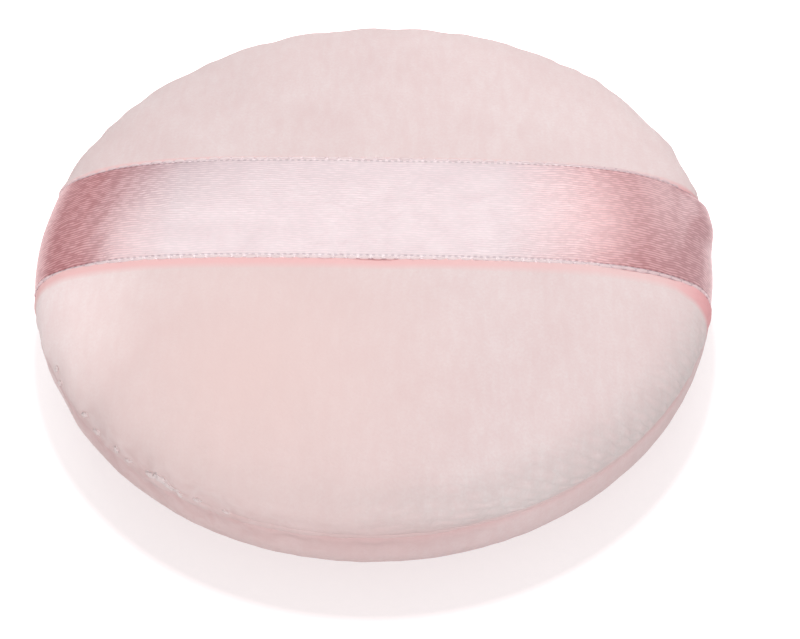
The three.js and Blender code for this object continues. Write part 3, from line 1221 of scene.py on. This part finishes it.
def reckon(operation, *values):
    inputs = dict(enumerate(values))
    return add_value(tree_of(values), "ShaderNodeMath", inputs, operation=operation)


def blend(share, first, second, way="MIX"):
    """The second colour over the first, by a share."""
    inputs = {0: share, 6: first, 7: second}
    tree = tree_of(inputs.values())
    return add_value(tree, "ShaderNodeMix", inputs, 2, data_type="RGBA", blend_type=way)


def ranged(value, low, high, to_low=0.0, to_high=1.0):
    """Takes low to to_low and high to to_high, and stays between them."""
    inputs = {"Value": value, "From Min": low, "From Max": high, "To Min": to_low, "To Max": to_high}
    return add_value(tree_of([value]), "ShaderNodeMapRange", inputs, "Result")


def between_headings(turn, low, high):
    """0 at the low heading and 1 at the high one, both in degrees."""
    return ranged(turn, math.radians(low), math.radians(high))


def noise_at(place, scale, detail, **inputs):
    inputs = {"Vector": place, "Scale": scale, "Detail": detail, **inputs}
    return add_value(tree_of([place]), "ShaderNodeTexNoise", inputs, "Fac")


def vector_math(operation, output, *values):
    inputs = dict(enumerate(values))
    return add_value(tree_of(values), "ShaderNodeVectorMath", inputs, output, operation=operation)


def stretched(place, scale):
    return add_value(tree_of([place]), "ShaderNodeMapping", {"Vector": place, "Scale": scale})


def coordinates(place):
    parted = add_node(tree_of([place]), "ShaderNodeSeparateXYZ", {0: place})
    return [Value(output) for output in parted.outputs]


def bumped(height, strength, distance, **inputs):
    inputs = {"Strength": strength, "Distance": distance, "Height": height, **inputs}
    return add_value(tree_of([height]), "ShaderNodeBump", inputs)


def in_millimetres(tree):
    place = add_value(tree, "ShaderNodeTexCoord", output="Object")
    return stretched(place, (1 / MM, 1 / MM, 1 / MM))


def rgba(tone):
    return (*tone, 1.0)


def shaded(tone, share):
    """A colour made darker or paler, as far as plain white."""
    return tuple(min(part * share, 1) for part in tone)


def new_material(name, tone):
    """A material with a bare node tree and its shader."""
    material = bpy.data.materials.new(name)
    material.diffuse_color = rgba(tone)
    material.use_nodes = True
    tree = material.node_tree
    tree.nodes.clear()
    shader = tree.nodes.new("ShaderNodeBsdfPrincipled")
    output = tree.nodes.new("ShaderNodeOutputMaterial")
    tree.links.new(shader.outputs[0], output.inputs[0])
    return material, tree, shader


def cut_pile(given):
    """Short cut pile: grain of the fibre tips, brushed streaks and broad soft mottles."""
    place = given["Vector"]
    grain = noise_at(place, given["Grain"], 3.0)
    streaks = noise_at(stretched(place, (1.0, 0.28, 0.28)), given["Streak"], 2.0)
    mottles = noise_at(place, given["Mottle"], 3.0, Roughness=0.6)
    return {
        "Height": streaks * 0.4 + grain * 0.6,
        "Tips": ranged(grain * streaks, 0.12, 0.42),
        "Mottles": ranged(mottles, 0.3, 0.7),
    }


def combed_pile(given):
    """Pile combed aside in slanting locks: where that is at the lower right, and the locks."""
    place = given["Vector"]
    x, y, z = coordinates(place)
    turn = reckon("ARCTAN2", y, x)
    level = vector_math("MULTIPLY", 0, place, (1.0, 1.0, 0.0))
    reach = vector_math("LENGTH", "Value", level)
    up = (z - SEAM_PLANE / MM) * COMB_STRETCH + ranged(reach, 38.0, 18.0, 0.0, 15.0)
    share = between_headings(turn, *COMB_START) * between_headings(turn, *reversed(COMB_END))
    share = share * ranged(up, 0.1, 1.2) * ranged(up, 9.0, 2.5)
    slant = (turn - COMB_HEADING) * -COMB_FAN + COMB_SLANT
    along = (turn - COMB_HEADING) * RIM
    cosine = reckon("COSINE", slant)
    sine = reckon("SINE", slant)
    with_lock = along * cosine + up * sine
    across_lock = up * cosine - along * sine
    sway = noise_at(place, 0.3, 2.0)
    rows = across_lock / COMB_PITCH + sway * 1.6
    row = reckon("FLOOR", rows)
    steps = with_lock / COMB_LENGTH + row * 0.43 + sway * 1.1
    tree = tree_of([place])
    cell = add_value(tree, "ShaderNodeCombineXYZ", {0: reckon("FLOOR", steps), 1: row})
    each = add_value(
        tree, "ShaderNodeTexWhiteNoise", {"Vector": cell}, "Value", noise_dimensions="2D"
    )
    across_share = reckon("PINGPONG", rows, 0.5)
    along_share = reckon("PINGPONG", steps, 0.5)
    swell = reckon("SMOOTH_MIN", across_share, along_share, 0.3)
    return {"Share": share, "Lock": (each * 0.6 + 0.7) * ranged(swell, 0.0, 0.4)}


def matted_pile(given):
    """Pile matted by the hand sewing at the front left: where that is, and its clumps."""
    place = given["Vector"]
    x, y, z = coordinates(place)
    turn = reckon("ARCTAN2", y, x)
    share = between_headings(turn, -158, -140) * between_headings(turn, -88, -112)
    clumps = noise_at(place, 0.55, 3.0, Distortion=0.8)
    return {
        "Share": share * ranged(z - SEAM_PLANE / MM, 4.5, 1.5),
        "Clump": ranged(clumps, 0.35, 0.65),
    }


def yarn_twist(given):
    """Plies of a twisted yarn: slanted ridges, with a loose fibre here and there."""
    place = given["Vector"]
    waves = {"Vector": place, "Scale": 1.0 / given["Pitch"], "Distortion": 1.2, "Detail": 1.0}
    ridges = add_value(
        tree_of([place]), "ShaderNodeTexWave", waves, "Fac", bands_direction="DIAGONAL"
    )
    return {"Height": ridges, "Fuzz": noise_at(place, 7.0, 2.0)}


# Each node group: what makes it, its inputs beside the place, and its outputs
GROUPS = {
    "Cut Pile": (
        cut_pile,
        {"Grain": 3.2, "Streak": 1.1, "Mottle": 0.09},
        ("Height", "Tips", "Mottles"),
    ),
    "Combed Pile": (combed_pile, {}, ("Share", "Lock")),
    "Matted Pile": (matted_pile, {}, ("Share", "Clump")),
    "Yarn Twist": (yarn_twist, {"Pitch": 0.8}, ("Height", "Fuzz")),
}


def make_group(name):
    build, inputs, outputs = GROUPS[name]
    tree = bpy.data.node_groups.new(name, "ShaderNodeTree")
    tree.interface.new_socket(name="Vector", in_out="INPUT", socket_type="NodeSocketVector")
    for socket, default in inputs.items():
        made = tree.interface.new_socket(name=socket, in_out="INPUT", socket_type="NodeSocketFloat")
        made.default_value = default
    for socket in outputs:
        tree.interface.new_socket(name=socket, in_out="OUTPUT", socket_type="NodeSocketFloat")
    given = tree.nodes.new("NodeGroupInput")
    result = tree.nodes.new("NodeGroupOutput")
    places = {output.name: Value(output) for output in given.outputs if output.name}
    set_inputs(result, build(places))
    return tree


def use_group(name, place, **inputs):
    """Adds a node group at a place, made the first time it is used, and gives its outputs."""
    group = bpy.data.node_groups.get(name) or make_group(name)
    inputs = {"Vector": place, **inputs}
    made = add_node(tree_of([place]), "ShaderNodeGroup", inputs, node_tree=group)
    return {output.name: Value(output) for output in made.outputs}


# Patches of the back: their middle in mm, how far out they end, and how far out they are full.
# The puff has been held at the warm one. The second is painted shade over the far left of the
# back, and the third is painted light on the left rim, paler by its tint.
WARM_PATCH = ((-12.0, -24.0, 16.0), 26.0, 4.0)
PAINTED_SHADE_PATCH = ((-26.0, 24.0, 16.0), 34.0, 6.0)
PAINTED_LIGHT_PATCH = ((-37.0, -15.0, 12.0), 16.0, 8.0)
PAINTED_LIGHT_TINT = (1.15, 1.17, 1.17, 1.0)


def patch(place, middle, end, full):
    """1 in the middle of a patch, and 0 from its end outwards."""
    return ranged(vector_math("DISTANCE", "Value", place, middle), end, full)


def painted_shadow_mask(x, y, z):
    """Where the ribbon's painted shadow lies on the back: under it, and just past its front."""
    r = ribbon_settings()
    front = -(r.width / 2 + r.aside) / MM
    back = (r.width / 2 - r.aside) / MM
    seam = SEAM_PLANE / MM
    wider = ranged(z, seam + 5.0, seam + 0.5, 0.0, r.drift / MM + 0.4)
    wider_at_right = ranged(x, 34.0, 38.5) * 2.0
    before = ranged(y + wider + wider_at_right, front - 1.6, front - 0.6)
    behind = ranged(y, back + 0.1, back - 0.5)
    return before * behind * ranged(z, seam, seam + 0.5)


def velour_material(name, tint=(1, 1, 1)):
    """Cut pile, tinted; painted shade along the seam, and the ribbon's painted shadow past its
    front.
    """
    v = velour_settings()
    material, tree, shader = new_material(name, v.tone)
    place = in_millimetres(tree)
    x, y, z = coordinates(place)
    pile = use_group("Cut Pile", place)
    combed = use_group("Combed Pile", place)
    matted = use_group("Matted Pile", place)
    toned = blend(pile["Tips"], rgba(v.tone), rgba(v.pale_tone))
    toned = blend(pile["Mottles"] * 0.22, toned, rgba(v.deep_and_seam_shade_tone))
    toned = blend(patch(place, *WARM_PATCH) * 0.8, toned, rgba(v.warm_tone))
    # Painted shade over the far left, and painted light on the left rim
    toned = blend(patch(place, *PAINTED_SHADE_PATCH), toned, rgba(v.shade_patch_tint), "MULTIPLY")
    toned = blend(patch(place, *PAINTED_LIGHT_PATCH), toned, PAINTED_LIGHT_TINT, "MULTIPLY")
    # Painted shadow of the ribbon, pink with light through it, weaker partway along the right half
    shadow_band = blend(ranged(x, 33.0, 38.5), rgba(v.ribbon_shadow_tone), rgba(v.rim_shadow_tone))
    weaker_shadow_share = ranged(x, 6.0, 20.0) * ranged(x, 37.0, 31.0) * 0.4
    toned = blend(painted_shadow_mask(x, y, z) * (1.0 - weaker_shadow_share), toned, shadow_band)
    # Painted shade along the seam, wider at the front left
    turn = reckon("ARCTAN2", y, x)
    left = between_headings(turn, -66, -88) * between_headings(turn, -160, -138)
    parted = ranged(abs(z - SEAM_PLANE / MM) / (left * 4.0 + 0.9), 1.0, 0.05)
    toned = blend(reckon("POWER", parted, 1.5) * 0.6, toned, rgba(v.deep_and_seam_shade_tone))
    # Combed pile is greyer, with painted shade between its locks
    combed_grey_and_shade = combed["Share"] * (1.1 - combed["Lock"] * 0.7)
    toned = blend(combed_grey_and_shade, toned, rgba(v.combed_tint), "MULTIPLY")
    clump = matted["Share"] * matted["Clump"]
    toned = blend(clump * 0.35, toned, rgba(v.pale_tone))
    toned = blend((matted["Share"] - clump) * 0.2, toned, rgba(v.deep_and_seam_shade_tone))
    # Painted shade on the face, by its tint; plain white leaves the back as it is
    toned = blend(1.0, toned, rgba(tint), "MULTIPLY")
    locks = bumped(combed["Share"] * combed["Lock"] + clump * 0.6, 0.5, 0.15 * MM)
    looks = {
        "Base Color": toned,
        "Roughness": ranged(pile["Tips"], 0.0, 1.0, 0.9, 1.0),
        "Normal": bumped(pile["Height"], 0.4, 0.1 * MM, Normal=locks),
        "Specular IOR Level": 0.15,
        "Sheen Weight": 0.08,
        "Sheen Roughness": 0.45,
        "Sheen Tint": (1.0, 0.95, 0.95, 1.0),
    }
    set_inputs(shader, looks)
    return material


def satin_material():
    """Rows of warp floats a few tenths of a millimetre wide, under a soft sheen."""
    name = "ribbon_satin"
    if name in bpy.data.materials:
        return bpy.data.materials[name]
    r = ribbon_settings()
    material, tree, shader = new_material(name, r.tone)
    span = 2 * ribbon_flat_length() / MM
    width = r.width / MM
    uv = add_value(tree, "ShaderNodeUVMap", uv_map="weave")
    place = stretched(uv, (span, width, 1.0))
    x, y, _ = coordinates(place)

    rows = (y + noise_at(place, 0.3, 1.0) * 0.8) / (r.float_pitch / MM)
    crown = ranged(reckon("PINGPONG", rows, 0.5), 0.0, 0.4)
    seed = {0: x / (r.float_length / MM), 1: reckon("FLOOR", rows) * 5.37}
    seed = add_value(tree, "ShaderNodeCombineXYZ", seed)
    each = {"Vector": seed, "Scale": 1.0, "Detail": 0.0}
    each = add_value(tree, "ShaderNodeTexNoise", each, "Fac", noise_dimensions="2D")
    body = crown * ranged(each, 0.36, 0.64, 0.35, 1.0)
    uneven = noise_at(stretched(place, (0.7, 3.0, 1.0)), 1.0, 3.0)
    caught = ranged((uneven * 0.8 + 0.6) * body, 0.05, 0.8)

    run = x - span / 2
    # Painted highlight: the satin is paler through the middle, under the key light's reflection, and
    # towards the right rim
    highlight_share = ranged(abs(run + 4.0), 30.0, 19.0)
    highlight_share = reckon("MAXIMUM", highlight_share, ranged(run, 28.0, 40.0, 0.0, 0.42))
    toned = blend(caught, rgba(r.tone), rgba(r.light_tone))
    powder = blend(caught, rgba(r.painted_highlight_tone), rgba(shaded(r.painted_highlight_tone, 1.22)))
    toned = blend(highlight_share, toned, powder)

    from_edge = width / 2 - abs(y - width / 2)
    # Painted shade where the edge shows between the loops, and painted shadow dashes beside them
    dashes = ranged(reckon("SINE", x * (2 * TAU * MM / r.bead_pitch)), -0.3, 0.3)
    painted_dash_shadow = dashes * ranged(abs(from_edge - 0.6), 0.15, 0.08)
    toned = blend(ranged(from_edge, 0.62, 0.5), toned, rgba(r.loop_gap_shade_tone))
    toned = blend(painted_dash_shadow, toned, rgba(r.dash_shadow_tint), "MULTIPLY")

    facing = add_value(tree, "ShaderNodeLayerWeight", {"Blend": 0.5}, "Facing")
    shine = ranged(caught, 0.0, 1.0, 0.5, 0.61) * (1.0 - painted_dash_shadow * 0.35)
    looks = {
        "Base Color": toned,
        "Roughness": ranged(noise_at(place, 0.35, 2.0), 0.3, 0.7, 0.28, 0.31),
        "Normal": bumped(body + uneven * 0.1 - painted_dash_shadow * 0.8, 0.12, 0.05 * MM),
        "Specular IOR Level": shine * ranged(facing, 0.55, 0.95, 1.0, 0.12),
        "IOR": 2.0,
        "Anisotropic": 0.4,
        "Tangent": add_value(
            tree, "ShaderNodeTangent", direction_type="UV_MAP", uv_map="weave"
        ),
        "Sheen Weight": 0.1,
    }
    set_inputs(shader, looks)
    return material


def yarn_material(name, tones, pitch, relief, rough, **looks):
    """Twisted or loose fibre: its two tones, its pitch, bump and the range of its roughness."""
    material, tree, shader = new_material(name, tones[0])
    twist = use_group("Yarn Twist", in_millimetres(tree), Pitch=pitch)
    toned = blend(twist["Fuzz"], rgba(tones[0]), rgba(tones[1]))
    rough = ranged(twist["Fuzz"], 0.3, 0.7, *rough)
    normal = bumped(twist["Height"], *relief)
    set_inputs(shader, {"Base Color": toned, "Roughness": rough, "Normal": normal, **looks})
    return material, toned, shader


def selvedge_material():
    name = "selvedge_loops"
    if name in bpy.data.materials:
        return bpy.data.materials[name]
    r = ribbon_settings()
    tones = (r.selvedge_tone, shaded(r.selvedge_tone, 1.15))
    made = yarn_material(name, tones, 0.3, (0.3, 0.04 * MM), (0.4, 0.5), IOR=1.7)
    material, toned, shader = made
    x = coordinates(in_millimetres(material.node_tree))[0]
    # Painted shade: the loops darken towards the rims, where the ribbon turns away from the light
    toned = blend(ranged(abs(x + 3.0), 20.0, 34.0), toned, rgba(r.end_shade_tone))
    set_inputs(shader, {"Base Color": toned})
    return material


def thread_material(name, pitch):
    if name in bpy.data.materials:
        return bpy.data.materials[name]
    s = sewing_settings()
    tones = (s.thread_tone, shaded(s.thread_tone, 1.1))
    return yarn_material(name, tones, pitch, (0.6, 0.08 * MM), (0.5, 0.65))[0]


def tuft_material():
    """Loose pile, paler than the rest because light comes through it."""
    v = velour_settings()
    looks = {"Specular IOR Level": 0.1, "Sheen Weight": 0.4}
    tones = (v.tone, v.pale_tone)
    material = yarn_material("loose_pile", tones, 0.6, (0.4, 0.04 * MM), (0.85, 1.0), **looks)[0]
    material.diffuse_color = rgba(v.pale_tone)
    return material


def sponge_material():
    s = sewing_settings()
    material, tree, shader = new_material("latex_sponge", s.sponge_tone)
    cells = {"Vector": in_millimetres(tree), "Scale": 2.6, "Randomness": 1.0}
    # Painted shade in the sponge's pits, which are darker than its face
    hollow = ranged(add_value(tree, "ShaderNodeTexVoronoi", cells, "Distance"), 0.1, 0.5)
    looks = {
        "Base Color": blend(hollow, rgba(shaded(s.sponge_tone, 0.72)), rgba(s.sponge_tone)),
        "Roughness": ranged(hollow, 0.0, 1.0, 0.95, 0.8),
        "Normal": bumped(hollow, 0.8, 0.2 * MM),
    }
    set_inputs(shader, looks)
    return material


def camera_rays(tree):
    """Two shares: the camera's own rays, and those together with what mirrors and glass turn."""
    ray = tree.nodes.new("ShaderNodeLightPath").outputs
    straight = Value(ray["Is Camera Ray"])
    seen = straight + Value(ray["Is Glossy Ray"]) + Value(ray["Is Transmission Ray"])
    return straight, reckon("MINIMUM", seen, 1.0)


def floor_material():
    """White paper that keeps the puff's shadow and goes to white in the picture."""
    s = studio_settings()
    material, tree, shader = new_material("paper_sweep", s.floor_tone)
    place = in_millimetres(tree)
    faint = ranged(noise_at(place, 2.0, 2.0), 0.3, 0.7, 0.995, 1.0)
    toned = blend(faint, rgba(s.floor_shade), rgba(s.floor_tone))
    set_inputs(shader, {"Base Color": toned, "Roughness": 0.9, "Specular IOR Level": 0.0})
    reach = vector_math("LENGTH", "Value", place)
    # More plain white away from the puff cuts its shadow short, and near it the glow's pink is
    # painted light bounced from the puff
    share = camera_rays(tree)[1] * ranged(reach, 41.5, 46.5, s.floor_glow, 0.85)
    glow = {"Color": rgba(s.glow_and_bounce_tone), "Strength": s.glow_power}
    glow = add_value(tree, "ShaderNodeEmission", glow)
    mixed = {0: share, 1: Value(shader.outputs[0]), 2: glow}
    mixed = add_value(tree, "ShaderNodeMixShader", mixed)
    output = next(n for n in tree.nodes if n.bl_idname == "ShaderNodeOutputMaterial")
    set_inputs(output, {0: mixed})
    return material


def make_floor():
    bm = bmesh.new()
    bmesh.ops.create_grid(bm, x_segments=2, y_segments=2, size=1.5)
    floor = add_piece("paper_floor", bm)
    floor.data.materials.append(floor_material())


def make_world():
    s = studio_settings()
    world = bpy.data.worlds.new("Studio")
    world.use_nodes = True
    tree = world.node_tree
    tree.nodes.clear()
    straight, seen = camera_rays(tree)
    level = ranged(straight, 0.0, 1.0, s.backdrop, 1.0)
    room = add_value(tree, "ShaderNodeBackground", {"Strength": s.fill})
    white = {"Color": (1.0, 1.0, 1.0, 1.0), "Strength": level}
    white = add_value(tree, "ShaderNodeBackground", white)
    both = add_value(tree, "ShaderNodeMixShader", {0: seen, 1: room, 2: white})
    add_node(tree, "ShaderNodeOutputWorld", {0: both})
    bpy.context.scene.world = world


def add_softbox(name, heading, elevation, distance, size, power):
    """A rectangular lamp that faces the puff from a heading, 0 being behind it and 90 its right."""
    v = velour_settings()
    lamp = bpy.data.lights.new(name, "AREA")
    lamp.shape = "RECTANGLE"
    lamp.size, lamp.size_y = size
    lamp.energy = power
    softbox = bpy.data.objects.new(name, lamp)
    level = math.cos(elevation) * distance
    middle = Vector((0, 0, v.seam_height))
    softbox.location = middle + Vector(
        (level * math.sin(heading), level * math.cos(heading), distance * math.sin(elevation))
    )
    softbox.rotation_euler = (middle - softbox.location).to_track_quat("-Z", "Y").to_euler()
    bpy.context.scene.collection.objects.link(softbox)


def make_lamps():
    """The softboxes, each by its heading and elevation in degrees, distance, size and power."""
    s = studio_settings()
    lamps = (
        ("key_softbox", -7.5, 46.8, 0.55, (0.54, 0.11), s.key_power),
        ("front_softbox", 180, 35, 1.0, (0.9, 0.6), s.front_power),
        ("left_strip", -45, 26, 0.5, (0.1, 0.08), 0.3 * s.strip_power),
        ("right_strip", 38, 22, 0.5, (0.14, 0.22), 1.8 * s.strip_power),
        ("right_fill", 68, 20, 0.5, (0.3, 0.3), 1.5 * s.strip_power),
    )
    for name, heading, elevation, distance, size, power in lamps:
        add_softbox(name, math.radians(heading), math.radians(elevation), distance, size, power)


def make_camera():
    s = studio_settings()
    v = velour_settings()
    back = Vector((0, -math.cos(s.elevation), math.sin(s.elevation)))
    up = Vector((0, math.sin(s.elevation), math.cos(s.elevation)))
    middle = Vector((0, 0, v.seam_height))
    away = s.distance * back - s.aside * Vector((1, 0, 0)) - s.above * up
    turn = Matrix.Rotation(s.turn, 3, "Z")
    lens = bpy.data.cameras.new("Camera")
    lens.lens = s.lens
    lens.sensor_width = 36
    lens.clip_start = 0.01
    lens.clip_end = 10
    camera = bpy.data.objects.new("Camera", lens)
    camera.location = middle + turn @ away
    camera.rotation_euler = (turn @ (-back)).to_track_quat("-Z", "Y").to_euler()
    bpy.context.scene.collection.objects.link(camera)
    bpy.context.scene.camera = camera


class PUFF_OT_studio(Operator):
    """Set up the camera, the softboxes and the white paper floor"""

    bl_idname = "puff.studio"
    bl_label = "Studio"

    def execute(self, context):
        context.scene.view_settings.view_transform = "Standard"
        make_camera()
        make_world()
        make_lamps()
        make_floor()
        return {"FINISHED"}


class PUFF_OT_back_velour(Operator):
    """Make the velour cover of the back, which carries the ribbon"""

    bl_idname = "puff.back_velour"
    bl_label = "Back Velour"

    def execute(self, context):
        make_back_velour()
        return {"FINISHED"}


class PUFF_OT_face_velour(Operator):
    """Make the velour cover of the face, pressed flat where the puff lies"""

    bl_idname = "puff.face_velour"
    bl_label = "Face Velour"

    def execute(self, context):
        make_face_velour()
        return {"FINISHED"}


class PUFF_OT_sponge(Operator):
    """Make the sponge that fills the two covers"""

    bl_idname = "puff.sponge"
    bl_label = "Sponge"

    def execute(self, context):
        make_sponge()
        return {"FINISHED"}


class PUFF_OT_ribbon(Operator):
    """Make both halves of the satin ribbon with their selvedges"""

    bl_idname = "puff.ribbon"
    bl_label = "Ribbon"

    def execute(self, context):
        flat_length = ribbon_flat_length()
        for side, ribbon_name, selvedge_name, nodes in HALVES:
            ribbon = make_ribbon_half(side, ribbon_name, nodes)
            selvedges = make_selvedges(side, selvedge_name)
            blend_with_strap(ribbon)
            blend_with_strap(selvedges)
        return {"FINISHED"}


class PUFF_OT_sewing(Operator):
    """Make the hand-sewn closing and its caught pile, and finish the machine threads"""

    bl_idname = "puff.sewing"
    bl_label = "Sewing"

    def execute(self, context):
        make_closing_stitches()
        make_caught_pile()
        make_seam_pile()
        for name in ("seam_needle_thread", "seam_bobbin_thread"):
            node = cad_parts[name]
            node.data.materials.clear()
            node.data.materials.append(thread_material("machine_thread", 0.5))
        return {"FINISHED"}


PIECE_OPERATORS = (
    PUFF_OT_studio,
    PUFF_OT_back_velour,
    PUFF_OT_face_velour,
    PUFF_OT_sponge,
    PUFF_OT_ribbon,
    PUFF_OT_sewing,
)


class PUFF_PT_panel(Panel):
    """Lists the powder puff's sizes and the operators that make its pieces"""

    bl_label = "Powder Puff"
    bl_idname = "PUFF_PT_panel"
    bl_space_type = "VIEW_3D"
    bl_region_type = "UI"
    bl_category = "Powder Puff"

    def draw(self, context):
        layout = self.layout
        for operator in PIECE_OPERATORS:
            layout.operator(operator.bl_idname)
        for group, _ in SETTINGS:
            settings = getattr(context.scene, group)
            box = layout.box()
            for name in settings.__annotations__:
                box.prop(settings, name)


SETTINGS = (
    ("puff_velour", VelourSettings),
    ("puff_ribbon", RibbonSettings),
    ("puff_sewing", SewingSettings),
    ("puff_studio", StudioSettings),
)


def register():
    for name, settings in SETTINGS:
        bpy.utils.register_class(settings)
        setattr(bpy.types.Scene, name, PointerProperty(type=settings))
    for operator in PIECE_OPERATORS:
        bpy.utils.register_class(operator)
    bpy.utils.register_class(PUFF_PT_panel)


def unregister():
    bpy.utils.unregister_class(PUFF_PT_panel)
    for operator in reversed(PIECE_OPERATORS):
        bpy.utils.unregister_class(operator)
    for name, settings in reversed(SETTINGS):
        delattr(bpy.types.Scene, name)
        bpy.utils.unregister_class(settings)


def main():
    noise.seed_set(LOOP_SEED)
    register()
    for operator in PIECE_OPERATORS:
        area, name = operator.bl_idname.split(".")
        getattr(getattr(bpy.ops, area), name)()


if __name__ == "__main__":
    main()
